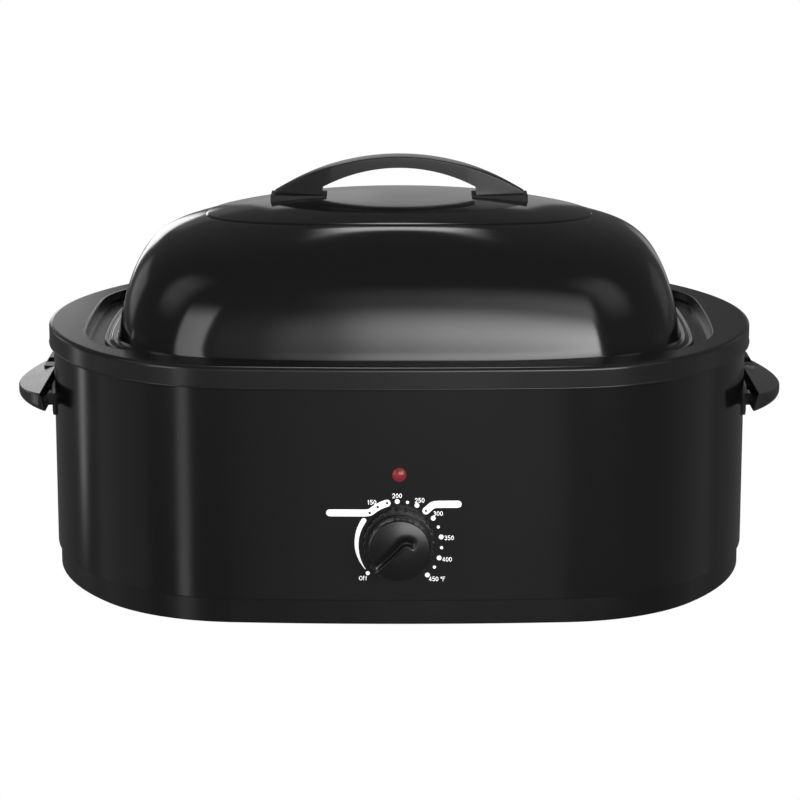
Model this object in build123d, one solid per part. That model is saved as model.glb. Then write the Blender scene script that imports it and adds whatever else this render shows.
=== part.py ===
from build123d import *
import os
import math

# ---------------------------------------------------------------------------
# Electric roaster oven with a lift-off lid, a lift-out pan and a wire rack.
# Millimetres, +Z up. X is the length of the oven, the control panel faces -Y.
# Positions below are given from the centre of the oval body, and the drawing
# helpers move them back by Y0. That puts the origin at the centre of the whole
# oven's bounding rectangle on the counter, knob and rim included.
# ---------------------------------------------------------------------------

# Plans are ovals of three tangent arcs per quadrant:
# half length, half depth, front radius, corner radius, end radius
BODY_PLAN = (263.8, 198.7, 1692.6, 129.4, 236.6)    # base skirt, outer face
RIM_PLAN = (236.9, 182.0, 600.0, 107.0, 1300.0)     # opening of the rim ring

Y0 = 11.0

# --- body ---
SKIRT_Z0 = 1.2            # clearance of the skirt above the counter
SEAM_Z = 19.0             # top of the base skirt
SEAM_GAP = 0.5
SKIRT_T = 2.5
WALL_OUT = 2.2            # housing wall stands proud of the skirt
WALL_T = 1.0
WALL_TOP = 186.5
RING_OUT = 5.4            # rim ring overhang from the skirt plan
RING_TOP = 190.6
RING_BOT = 174.6
RING_T = 2.5
RING_PLATE_T = 3.0
RING_FILLET = 2.2
FLANGE_Z = 182.0          # top of the liner flange, where the pan hangs
LINER_IN = 19.0           # inset of the liner well from the rim opening
LINER_T = 0.8
LINER_FLOOR = 34.0
PLATE_Z = 8.0             # underside of the bottom plate
PLATE_T = 1.0

# --- pan, rack, lid ---
PAN_RIM_IN = 3.6
PAN_IN = 26.0
PAN_T = 1.2
PAN_FLOOR = 41.4
LID_RIM_IN = 14.5
LID_BASE_IN = 24.0
LID_T = 1.2
LID_TOP = 290.0
RACK_Z = 58.0
RACK_WIRE = 2.5
RACK_ROD = 1.7

# --- controls ---
KNOB_Z = 62.5
LAMP_Z = 112.6
KNOB_R = 25.5
KNOB_CAP_R = 22.3
KNOB_FRONT = -226.0
SHAFT_R = 3.0
SHAFT_CLEAR = 0.05
GLAND_X = 120.0
GLAND_Z = 44.0
GLAND_BORE_R = 3.6

# --- handles ---
SIDE_TOP = 145.0
SIDE_BOT = 131.5
SIDE_TIP = 294.2
SIDE_R = 140.0
SIDE_HALF = 77.0
SIDE_INNER = 270.0
SIDE_FALL = 0.2             # slope of the grip's top, falling outwards
REAR_ARM = 27.0             # where the rear arm starts
HANDLE_HALF = 95.0
HANDLE_W = 24.0
HANDLE_TOP = 315.4
HANDLE_UNDER = 306.4
HANDLE_SCREW_X = 77.0
FOOT_Z = 285.4

os.makedirs("parts", exist_ok=True)
OUT = {}


def node(name, shape):
    OUT[name] = shape
    export_step(shape, "parts/" + name + ".step")


# ------------------------------ plan geometry ------------------------------
def off(plan, d):
    """The same plan, offset outwards by d: every arc keeps its centre."""
    return tuple(v + d for v in plan)


def corner_centre(plan):
    hx, hy, rf, rc, re = plan
    fx, fy = 0.0, hy - rf
    ex, ey = hx - re, 0.0
    r1, r2 = rf - rc, re - rc
    d = math.hypot(ex - fx, ey - fy)
    a = (r1 * r1 - r2 * r2 + d * d) / (2 * d)
    h = math.sqrt(max(r1 * r1 - a * a, 0.0))
    ux, uy = (ex - fx) / d, (ey - fy) / d
    px, py = fx + a * ux, fy + a * uy
    cands = [(px - h * uy, py + h * ux), (px + h * uy, py - h * ux)]
    return (fx, fy), (ex, ey), max(cands, key=lambda c: c[0] + c[1])


def tangent_points(plan):
    """Where the front arc meets the corner arc, and corner meets end arc."""
    hx, hy, rf, rc, re = plan
    f, e, c = corner_centre(plan)
    l1 = math.hypot(c[0] - f[0], c[1] - f[1])
    l2 = math.hypot(c[0] - e[0], c[1] - e[1])
    u1 = ((c[0] - f[0]) / l1, (c[1] - f[1]) / l1)
    u2 = ((c[0] - e[0]) / l2, (c[1] - e[1]) / l2)
    t1 = (c[0] + rc * u1[0], c[1] + rc * u1[1])
    t2 = (c[0] + rc * u2[0], c[1] + rc * u2[1])
    m = (u1[0] + u2[0], u1[1] + u2[1])
    lm = math.hypot(*m)
    mid = (c[0] + rc * m[0] / lm, c[1] + rc * m[1] / lm)
    return t1, mid, t2


def oval_edges(plan, z):
    hx, hy = plan[0], plan[1]
    t1, m, t2 = tangent_points(plan)

    def arc(a, b, c):
        return Edge.make_three_point_arc(
            Vector(a[0], a[1] + Y0, z), Vector(b[0], b[1] + Y0, z), Vector(c[0], c[1] + Y0, z))

    return [
        arc((-t1[0], -t1[1]), (0, -hy), (t1[0], -t1[1])),
        arc((t1[0], -t1[1]), (m[0], -m[1]), (t2[0], -t2[1])),
        arc((t2[0], -t2[1]), (hx, 0), (t2[0], t2[1])),
        arc((t2[0], t2[1]), (m[0], m[1]), (t1[0], t1[1])),
        arc((t1[0], t1[1]), (0, hy), (-t1[0], t1[1])),
        arc((-t1[0], t1[1]), (-m[0], m[1]), (-t2[0], t2[1])),
        arc((-t2[0], t2[1]), (-hx, 0), (-t2[0], -t2[1])),
        arc((-t2[0], -t2[1]), (-m[0], -m[1]), (-t1[0], -t1[1])),
    ]


def oval_wire(plan, z):
    return Wire(oval_edges(plan, z))


def oval_face(plan, z):
    return Face(oval_wire(plan, z))


def prism(plan, z0, z1):
    return extrude(oval_face(plan, z0), amount=z1 - z0, dir=(0, 0, 1))


def half_depth(plan, x):
    """Half depth of a plan at a given x."""
    hx, hy, rf, rc, re = plan
    f, e, c = corner_centre(plan)
    t1, m, t2 = tangent_points(plan)
    x = abs(x)
    if x <= t1[0]:
        return f[1] + math.sqrt(rf * rf - x * x)
    if x <= t2[0]:
        return c[1] + math.sqrt(max(rc * rc - (x - c[0]) ** 2, 0.0))
    return math.sqrt(max(re * re - (x - e[0]) ** 2, 0.0))


def at(x, y, z):
    """A point given from the centre of the body."""
    return (x, y + Y0, z)


def cyl(r, p, axis, length):
    """Cylinder of radius r starting at p and running along axis."""
    return extrude(Plane(origin=at(*p), z_dir=axis) * Circle(r), amount=length)


def block(x0, x1, y0, y1, z0, z1):
    return Pos((x0 + x1) / 2, (y0 + y1) / 2 + Y0, (z0 + z1) / 2) * Box(
        x1 - x0, y1 - y0, z1 - z0)


def edges_near(shape, z, tol=0.05):
    """Edges that lie in the horizontal plane z."""
    out = []
    for e in shape.edges():
        bb = e.bounding_box()
        if abs(bb.min.Z - z) < tol and abs(bb.max.Z - z) < tol:
            out.append(e)
    return out


def bent_path(points, radius):
    """Straight runs joined by tangent arcs."""
    pts = [Vector(*at(*p)) for p in points]
    edges = []
    start = pts[0]
    for i in range(1, len(pts) - 1):
        a, b, c = pts[i - 1], pts[i], pts[i + 1]
        u = (a - b).normalized()
        v = (c - b).normalized()
        ang = math.acos(max(-1.0, min(1.0, u.dot(v))))
        t = radius / math.tan(ang / 2)
        p1 = b + u * t
        p2 = b + v * t
        w = (u + v).normalized()
        cen = b + w * (radius / math.sin(ang / 2))
        mid = cen - w * radius
        edges.append(Edge.make_line(start, p1))
        edges.append(Edge.make_three_point_arc(p1, mid, p2))
        start = p2
    edges.append(Edge.make_line(start, pts[-1]))
    return Wire(edges)


def wire_tube(points, radius, r):
    path = bent_path(points, radius)
    d = (Vector(*points[1]) - Vector(*points[0])).normalized()
    return sweep(Plane(origin=at(*points[0]), z_dir=d) * Circle(r), path=path)


def screw(p, axis, head_r, head_h, r, length, slot=True):
    """Pan-head screw: head at p standing back against axis, shank along it."""
    ax = Vector(*axis).normalized()
    base = Vector(*p)
    h0 = base - ax * head_h
    s = cyl(head_r, tuple(h0), axis, head_h) + cyl(r, p, axis, length)
    if slot:
        s -= cyl(head_r * 0.42, tuple(h0), axis, head_h * 0.5)
    return s


# ------------------------------ base ------------------------------
skirt = prism(BODY_PLAN, SKIRT_Z0, SEAM_Z)
skirt = fillet(edges_near(skirt, SKIRT_Z0), 1.2)
skirt -= prism(off(BODY_PLAN, -SKIRT_T), SKIRT_Z0 - 1, SEAM_Z + 1)
# locating lip that the housing wall slips over
skirt += prism(off(BODY_PLAN, -0.5), SEAM_Z - 4, SEAM_Z + 8) - prism(
    off(BODY_PLAN, -SKIRT_T), SEAM_Z - 4, SEAM_Z + 8)
# inner ledge that carries the bottom plate
LEDGE_Z = PLATE_Z + PLATE_T
skirt += prism(off(BODY_PLAN, -SKIRT_T + 0.2), LEDGE_Z, LEDGE_Z + 2.5) - prism(
    off(BODY_PLAN, -18.0), LEDGE_Z, LEDGE_Z + 2.5)
BASE_SCREWS = []
for sx in (-1, 1):
    for sy in (-1, 1):
        BASE_SCREWS.append((sx * 205.0, sy * 138.0))
for sy in (-1, 1):
    BASE_SCREWS.append((0.0, sy * 188.5))
for (bx, by) in BASE_SCREWS:
    skirt += cyl(4.2, (bx, by, LEDGE_Z + 2.4), (0, 0, 1), 6.1) & prism(
        off(BODY_PLAN, -SKIRT_T + 0.1), LEDGE_Z, LEDGE_Z + 12)
    skirt -= cyl(1.75, (bx, by, LEDGE_Z - 1), (0, 0, 1), 8.5)
node("base_skirt", skirt)

FEET = {"foot_front_left": (-176.0, -122.0), "foot_front_right": (176.0, -122.0),
        "foot_rear_left": (-176.0, 122.0), "foot_rear_right": (176.0, 122.0)}
plate = prism(off(BODY_PLAN, -4.0), PLATE_Z, PLATE_Z + PLATE_T)
for (bx, by) in BASE_SCREWS:
    plate -= cyl(2.1, (bx, by, PLATE_Z - 1), (0, 0, 1), 4)
for (fx, fy) in FEET.values():
    plate -= cyl(4.0, (fx, fy, PLATE_Z - 1), (0, 0, 1), 4)
plate -= cyl(3.3, (0, 0, PLATE_Z - 1), (0, 0, 1), 4)
# cooling slots in two banks
for bank in (-1, 1):
    for i in range(7):
        sx = bank * (62.0 + i * 12.0)
        slot = extrude(Plane(origin=at(sx, 0, PLATE_Z - 1)) * Pos(0, 0) * SlotOverall(
            70.0, 5.0, rotation=90), amount=4)
        plate -= slot
node("bottom_plate", plate)

for name, (fx, fy) in FEET.items():
    foot = extrude(Plane(origin=at(fx, fy, 0)) * Circle(11.0), amount=PLATE_Z)
    foot = fillet(foot.edges().group_by(Axis.Z)[0], 1.2)
    foot += cyl(3.9, (fx, fy, PLATE_Z), (0, 0, 1), PLATE_T)
    foot += cyl(5.6, (fx, fy, PLATE_Z + PLATE_T), (0, 0, 1), 1.2)
    foot += extrude(Plane(origin=at(fx, fy, PLATE_Z + PLATE_T + 1.2)) * Circle(5.6),
                    amount=2.6, taper=38)
    node(name, foot)

node("base_screws", Compound(children=[
    screw((bx, by, PLATE_Z), (0, 0, 1), 3.6, 2.2, 1.7, 8.0) for (bx, by) in BASE_SCREWS]))

# ------------------------------ housing wall ------------------------------
wall_z0 = SEAM_Z + SEAM_GAP
WALL_PLAN = off(BODY_PLAN, WALL_OUT)
wall = prism(WALL_PLAN, wall_z0, WALL_TOP)
wall = chamfer(edges_near(wall, wall_z0), 0.6)
wall -= prism(off(WALL_PLAN, -WALL_T), wall_z0 - 1, WALL_TOP + 1)
WALL_FRONT = -WALL_PLAN[1]
wall -= cyl(5.2, (0, WALL_FRONT - 5, KNOB_Z), (0, 1, 0), 12)
wall -= cyl(4.3, (0, WALL_FRONT - 5, LAMP_Z), (0, 1, 0), 12)
for sx in (-1, 1):
    wall -= cyl(2.1, (sx * 15.5, WALL_FRONT - 5, KNOB_Z), (0, 1, 0), 12)
GLAND_Y = half_depth(WALL_PLAN, GLAND_X)
wall -= cyl(8.1, (GLAND_X, GLAND_Y - 8, GLAND_Z), (0, 1, 0), 16)
SIDE_SCREW_Y = 36.0
SIDE_SCREW_Z = 134.0
for sx in (-1, 1):
    for sy in (-1, 1):
        wall -= cyl(2.3, (sx * 250.0, sy * SIDE_SCREW_Y, SIDE_SCREW_Z), (sx, 0, 0), 30)
# louvres at the back for cooling air
for i in range(9):
    lx = -150.0 + i * 9.0
    wall -= extrude(Plane(origin=at(lx, 188.0, 42.0), x_dir=(1, 0, 0), z_dir=(0, 1, 0)) *
                    SlotOverall(26.0, 3.2, rotation=90), amount=24)
# the wall is two sheets: a long one wrapped round the front and ends, and a rear panel
REAR_HALF = 170.0
node("rear_panel", wall & block(-REAR_HALF, REAR_HALF, 120, 230, 0, 200))
node("housing_wall", wall - block(-REAR_HALF - 0.3, REAR_HALF + 0.3, 120, 230, 0, 200))

# ------------------------------ rim ring ------------------------------
RING_PLAN = off(BODY_PLAN, RING_OUT)
ring = prism(RING_PLAN, RING_BOT, RING_TOP)
ring = fillet(edges_near(ring, RING_TOP), RING_FILLET)
ring -= prism(RIM_PLAN, RING_BOT - 1, RING_TOP + 1)
inner_top = [e for e in edges_near(ring, RING_TOP)
             if abs(e.position_at(0.5).X) < RIM_PLAN[0] + 0.5
             and abs(half_depth(RIM_PLAN, min(abs(e.position_at(0.5).X), RIM_PLAN[0])) -
                     abs(e.position_at(0.5).Y - Y0)) < 1.0]
ring = fillet(inner_top, 1.0)
channel = prism(off(RING_PLAN, -RING_T), RING_BOT - 1, RING_TOP - RING_PLATE_T) - prism(
    off(RIM_PLAN, 2.5), RING_BOT - 1, RING_TOP - RING_PLATE_T)
ring -= channel
# inner lip stops on the liner flange
ring -= prism(off(RIM_PLAN, 6.0), RING_BOT - 1, FLANGE_Z)
RIM_SCREWS = [(252.0, 0.0), (-252.0, 0.0), (175.0, 165.0), (-175.0, 165.0),
              (175.0, -165.0), (-175.0, -165.0)]
for (bx, by) in RIM_SCREWS:
    ring += cyl(4.0, (bx, by, FLANGE_Z), (0, 0, 1), RING_TOP - RING_PLATE_T - FLANGE_Z + 0.5)
for (bx, by) in RIM_SCREWS:
    ring -= cyl(1.55, (bx, by, FLANGE_Z - 1), (0, 0, 1), 6.2)
node("rim_ring", ring)

# ------------------------------ heating well ------------------------------
LINER_OUTER = off(RIM_PLAN, -LINER_IN + LINER_T)
LINER_INNER = off(RIM_PLAN, -LINER_IN)
liner = prism(LINER_OUTER, LINER_FLOOR - LINER_T, FLANGE_Z)
liner = fillet(edges_near(liner, LINER_FLOOR - LINER_T), 17.0)
well = prism(LINER_INNER, LINER_FLOOR, FLANGE_Z + 2)
well = fillet(edges_near(well, LINER_FLOOR), 16.0)
liner += prism(off(BODY_PLAN, -4.0), FLANGE_Z - LINER_T, FLANGE_Z)
liner -= well
for (bx, by) in RIM_SCREWS:
    liner -= cyl(1.9, (bx, by, FLANGE_Z - 3), (0, 0, 1), 6)
node("inner_liner", liner)
node("rim_screws", Compound(children=[
    screw((bx, by, FLANGE_Z - LINER_T), (0, 0, 1), 3.2, 2.0, 1.5, 6.0) for (bx, by) in RIM_SCREWS]))

stud = cyl(3.0, (0, 0, 3.2), (0, 0, 1), LINER_FLOOR - LINER_T - 3.2 - 1.5)
stud += cyl(8.0, (0, 0, LINER_FLOOR - LINER_T - 1.5), (0, 0, 1), 1.5)
node("liner_stud", stud)
nut = extrude(Plane(origin=at(0, 0, 3.8)) * RegularPolygon(5.77, 6), amount=3.2)
nut -= cyl(3.02, (0, 0, 3), (0, 0, 1), 6)
node("liner_nut", nut)
washer = cyl(9.0, (0, 0, 7.0), (0, 0, 1), 1.0) - cyl(3.2, (0, 0, 6), (0, 0, 1), 4)
node("liner_washer", washer)

# ------------------------------ insulation and shields ------------------------------
ins = prism(off(RIM_PLAN, -1.0), 46.0, 168.0) - prism(off(RIM_PLAN, -9.0), 45.0, 169.0)
ins -= block(-66, 66, -210, -120, 40, 175)
node("side_insulation", ins)
bins = prism(off(RIM_PLAN, -38.0), 22.0, 31.0) - cyl(9.0, (0, 0, 20), (0, 0, 1), 14)
node("bottom_insulation", bins)
bsh = prism(off(RIM_PLAN, -26.0), 20.6, 21.6) - cyl(3.6, (0, 0, 19), (0, 0, 1), 4)
for sx in (-1, 1):
    for sy in (-1, 1):
        bsh += block(sx * 120 - 9, sx * 120 + 9, sy * 100 - 9, sy * 100 + 9, PLATE_Z + PLATE_T, 21.0) - \
            block(sx * 120 - 8, sx * 120 + 8, sy * 100 - 10, sy * 100 + 10, PLATE_Z + PLATE_T + 1.0, 20.6)
node("bottom_heat_shield", bsh)
csh = block(-60, 60, -174.6, -173.8, 40, 150)
csh += block(-60, -59.2, -190.0, -173.8, 40, 150) + block(59.2, 60, -190.0, -173.8, 40, 150)
csh -= cyl(5.0, (0, -180, KNOB_Z), (0, 1, 0), 12)
node("control_heat_shield", csh)

# ------------------------------ heating elements ------------------------------
EL_PLAN = off(RIM_PLAN, -13.8)
EL_R = 3.0
TERM = []


def element(z):
    """Open loop of sheathed tube round the well, its ends apart at the back."""
    gap = 16.0
    hx, hy, rf, rc, re = EL_PLAN
    f, e, c = corner_centre(EL_PLAN)
    ed = oval_edges(EL_PLAN, z)
    yb = half_depth(EL_PLAN, gap)
    t1, m, t2 = tangent_points(EL_PLAN)
    ym = half_depth(EL_PLAN, (t1[0] + gap) / 2)
    xm = (t1[0] + gap) / 2
    right = Edge.make_three_point_arc(Vector(*at(t1[0], t1[1], z)), Vector(*at(xm, ym, z)), Vector(*at(gap, yb, z)))
    left = Edge.make_three_point_arc(Vector(*at(-gap, yb, z)), Vector(*at(-xm, ym, z)), Vector(*at(-t1[0], t1[1], z)))
    path = Wire([left, ed[5], ed[6], ed[7], ed[0], ed[1], ed[2], ed[3], right])
    start = path.position_at(0)
    tan = path.tangent_at(0)
    s = sweep(Plane(origin=tuple(start), z_dir=tuple(tan)) * Circle(EL_R), path=path)
    for sx in (-1, 1):
        TERM.append((sx * gap, yb, z, sx))
    return s


node("heating_element_lower", element(48.0))
node("heating_element_upper", element(90.0))
pins = []
for (tx, ty, tz, sx) in TERM:
    slope = math.atan2(tx, half_depth(EL_PLAN, tx) - (EL_PLAN[1] - EL_PLAN[2]))
    pins.append(cyl(1.5, (tx, ty, tz), (-math.cos(slope) if sx > 0 else math.cos(slope),
                                         math.sin(abs(slope)), 0), 9.0))
node("element_terminals", Compound(children=pins))

clip_zone = prism(off(RIM_PLAN, -9.6), 42, 96) - prism(off(LINER_OUTER, 0.1), 41, 97)
slot_zone = prism(off(RIM_PLAN, -10.5), -3.3, 3.3) - prism(off(RIM_PLAN, -18.5), -4, 4)
web_zone = prism(off(RIM_PLAN, -9.0), 55, 83) - prism(off(RIM_PLAN, -17.1), 54, 84)
clips = []
for (cx, cy) in ((-225, 0), (225, 0), (110, -170), (-110, -170), (110, 170), (-110, 170)):
    if cy == 0:
        c = block(cx - 15, cx + 15, -6, 6, 42, 96)
    else:
        c = block(cx - 6, cx + 6, cy - 20, cy + 20, 42, 96)
    c = c & clip_zone
    for ez in (48.0, 90.0):
        c -= Pos(0, 0, ez) * slot_zone
    c -= web_zone
    clips.append(c)
node("element_clips", Compound(children=clips))

# ------------------------------ thermostat ------------------------------
wall_in = WALL_FRONT + WALL_T
bush_front = WALL_FRONT - 1.6
tb = block(-20, 20, wall_in + 0.9, wall_in + 1.9, KNOB_Z - 17, KNOB_Z + 17)           # mounting plate
tb += block(-16, 16, wall_in + 1.8, -177.0, KNOB_Z - 14, KNOB_Z + 14)                 # ceramic body
tb += cyl(5.0, (0, bush_front, KNOB_Z), (0, 1, 0), wall_in + 1.5 - bush_front)        # bushing
tb -= cyl(SHAFT_R + SHAFT_CLEAR, (0, bush_front - 2, KNOB_Z), (0, 1, 0), 19.0)
for sx in (-1, 1):
    tb -= cyl(1.6, (sx * 15.5, wall_in - 2, KNOB_Z), (0, 1, 0), 12.0)
for sx in (-1, 1):                                                                    # spade tabs
    tb += block(sx * 8 - 3.1, sx * 8 + 3.1, -184.0, -183.2, KNOB_Z - 23, KNOB_Z - 13)
node("thermostat_body", tb)
probe = cyl(3.8, (0, -177.0, KNOB_Z), (0, 1, 0), 12.6)
node("thermostat_probe", probe)
node("thermostat_screws", Compound(children=[
    screw((sx * 15.5, WALL_FRONT, KNOB_Z), (0, 1, 0), 3.4, 1.9, 1.5, 9.0) for sx in (-1, 1)]))

# shaft and knob turn together
shaft_back = bush_front - 2 + 19.0 - 0.6
shaft = cyl(SHAFT_R, (0, -219.0, KNOB_Z), (0, 1, 0), shaft_back + 219.0)
shaft -= block(-4, 4, -220, -205.0, KNOB_Z + 1.9, KNOB_Z + 4)
node("thermostat_shaft", shaft)

KNOB_BACK = WALL_FRONT - 0.6
skirt_k = extrude(Plane(origin=at(0, KNOB_BACK, KNOB_Z), z_dir=(0, -1, 0)) * Circle(KNOB_R), amount=6.0)
skirt_k = fillet(skirt_k.edges().group_by(Axis.Y)[0], 1.2)
# the cap: a disc with a slightly domed face
DOME_R = 77.0
cap = cyl(KNOB_CAP_R, (0, KNOB_BACK - 5.0, KNOB_Z), (0, -1, 0), -(KNOB_FRONT) + KNOB_BACK - 5.0)
dome = extrude(Plane(origin=at(0, KNOB_FRONT - 1, KNOB_Z), z_dir=(0, 1, 0)) * Circle(40), amount=24.0)
dome &= Pos(*at(0, KNOB_FRONT + DOME_R, KNOB_Z)) * Sphere(DOME_R)
cap &= dome
cap = fillet(cap.edges().filter_by(GeomType.CIRCLE).sort_by(Axis.Y)[0], 0.9)
knob = skirt_k + cap
# notches round the rim, for grip
for i in range(24):
    a = math.radians(i * 15.0 + 7.5)
    px, pz = (KNOB_R + 1.2) * math.cos(a), (KNOB_R + 1.2) * math.sin(a)
    knob -= cyl(2.0, (px, KNOB_BACK + 1, KNOB_Z + pz), (0, -1, 0), 9.0)
# pointer nose towards Off, and the finger groove that runs beside it across the face
bar_dir = math.radians(225.0)
ux, uz = math.cos(bar_dir), math.sin(bar_dir)
nose_pl = Plane(origin=at(0, KNOB_BACK - 5.0, KNOB_Z), x_dir=(ux, 0, uz), z_dir=(0, -1, 0))
nose = extrude(nose_pl * (Pos(18.0, 0) * Rectangle(14.0, 12.0)), amount=15.0)
nose &= cyl(25.3, (0, KNOB_BACK, KNOB_Z), (0, -1, 0), 25.0)
knob += nose
groove_pl = Plane(origin=at(-2.9 * uz - 2.5 * ux, KNOB_FRONT + 5.0, KNOB_Z + 2.9 * ux - 2.5 * uz),
                  x_dir=(ux, 0, uz), z_dir=(0, -1, 0))
gx, gz = (-2.9 * uz, 2.9 * ux)
if gx > 0:
    gx, gz = -gx, -gz
groove_pl = Plane(origin=at(gx + 3.0 * ux, KNOB_FRONT + 4.6, KNOB_Z + gz + 3.0 * uz), x_dir=(ux, 0, uz),
                  z_dir=(0, -1, 0))
knob -= extrude(groove_pl * SlotOverall(29.0, 5.6), amount=8.0)
# hollow back with a hub for the shaft
knob -= cyl(19.5, (0, KNOB_BACK + 1, KNOB_Z), (0, -1, 0), 15.0)
knob += cyl(6.2, (0, KNOB_BACK - 2.2, KNOB_Z), (0, -1, 0), 14.0)
knob -= (cyl(SHAFT_R + 0.02, (0, KNOB_BACK + 1, KNOB_Z), (0, -1, 0), 18.9) -
         block(-4, 4, -225, -205.2, KNOB_Z + 1.92, KNOB_Z + 4))
node("control_knob", knob)
clip_k = cyl(7.3, (0, KNOB_BACK - 4.6, KNOB_Z), (0, -1, 0), 4.0) - cyl(6.25, (0, KNOB_BACK, KNOB_Z), (0, -1, 0), 12.0)
clip_k -= block(-1.5, 1.5, -215, -203, KNOB_Z - 9, KNOB_Z)
node("knob_spring_clip", clip_k)

# ------------------------------ indicator lamp ------------------------------
lens = cyl(5.15, (0, WALL_FRONT - 1.4, LAMP_Z), (0, 1, 0), 1.4)
dome = Pos(*at(0, WALL_FRONT - 1.4 + 5.2, LAMP_Z)) * Sphere(7.3)
dome = dome & cyl(5.15, (0, WALL_FRONT - 6, LAMP_Z), (0, 1, 0), 4.6)
lens += dome
lens += cyl(4.1, (0, WALL_FRONT, LAMP_Z), (0, 1, 0), 7.0)
lens -= cyl(3.2, (0, WALL_FRONT + 0.6, LAMP_Z), (0, 1, 0), 7.0)
node("indicator_lens", lens)
lamp = cyl(3.0, (0, WALL_FRONT + 1.0, LAMP_Z), (0, 1, 0), 16.0)
lamp += cyl(0.5, (-1.3, WALL_FRONT + 16.5, LAMP_Z), (0, 1, 0), 5.0)
lamp += cyl(0.5, (1.3, WALL_FRONT + 16.5, LAMP_Z), (0, 1, 0), 5.0)
node("indicator_lamp", lamp)
ret = cyl(7.0, (0, wall_in + 0.05, LAMP_Z), (0, 1, 0), 1.0) - cyl(4.15, (0, wall_in - 1, LAMP_Z), (0, 1, 0), 4.0)
node("lamp_retainer", ret)

# ------------------------------ mains entry ------------------------------
gl = cyl(8.0, (GLAND_X, GLAND_Y - 9.0, GLAND_Z), (0, 1, 0), 15.0)
gl += cyl(11.0, (GLAND_X, GLAND_Y - 0.2, GLAND_Z), (0, 1, 0), 4.2)
gl += extrude(Plane(origin=at(GLAND_X, GLAND_Y + 3.9, GLAND_Z), z_dir=(0, 1, 0)) * Circle(8.6), amount=3.1, taper=25)
gl -= prism(off(WALL_PLAN, 0.0), 0, 100) & (cyl(12.0, (GLAND_X, GLAND_Y - 3, GLAND_Z), (0, 1, 0), 6) -
                                           cyl(8.0, (GLAND_X, GLAND_Y - 4, GLAND_Z), (0, 1, 0), 8))
gl -= cyl(GLAND_BORE_R, (GLAND_X, GLAND_Y - 12, GLAND_Z), (0, 1, 0), 24.0)
node("cord_gland", gl)

TBX = 84.0
tb_y = half_depth(WALL_PLAN, TBX) - WALL_T
term = block(TBX - 15, TBX + 15, tb_y - 13.0, tb_y - 1.4, 32, 48)
for i in range(3):
    term -= cyl(2.6, (TBX - 9 + 9 * i, tb_y - 14, 40), (0, 1, 0), 6.0)
node("terminal_block", term)
WIRE_R = 1.5
node("wire_live", wire_tube([(TBX - 9, 182.0, 31.6), (TBX - 9, 182.0, 14.6), (TBX - 9, -160.0, 14.6),
                             (8.0, -188.6, 14.6), (8.0, -188.6, KNOB_Z - 23.4)], 6.0, WIRE_R))
PIN_Y = half_depth(EL_PLAN, 9.0)
node("wire_neutral", wire_tube([(TBX, 182.0, 31.6), (TBX, 182.0, 18.4), (TBX, 164.0, 18.4),
                                (9.0, PIN_Y, 18.4), (9.0, PIN_Y, 46.0)], 5.0, WIRE_R))
node("wire_element", wire_tube([(-8.0, -188.6, KNOB_Z - 23.4), (-8.0, -188.6, 14.6), (-40.0, -150.0, 14.6),
                                (-40.0, 150.0, 14.6), (-9.0, PIN_Y, 14.6), (-9.0, PIN_Y, 46.0)], 5.0, WIRE_R))
links = [cyl(1.2, (sx * 9.0, PIN_Y, 49.6), (0, 0, 1), 38.8) for sx in (-1, 1)]
node("element_links", Compound(children=links))

# ------------------------------ side handles ------------------------------


def xz_prism(points, y0, y1):
    """A prism along Y with the given X, Z outline."""
    pts = [at(x, y0, z) for (x, z) in points]
    face = make_face(Polyline(*pts, close=True))
    return extrude(face, amount=y1 - y0, dir=(0, 1, 0))


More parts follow.
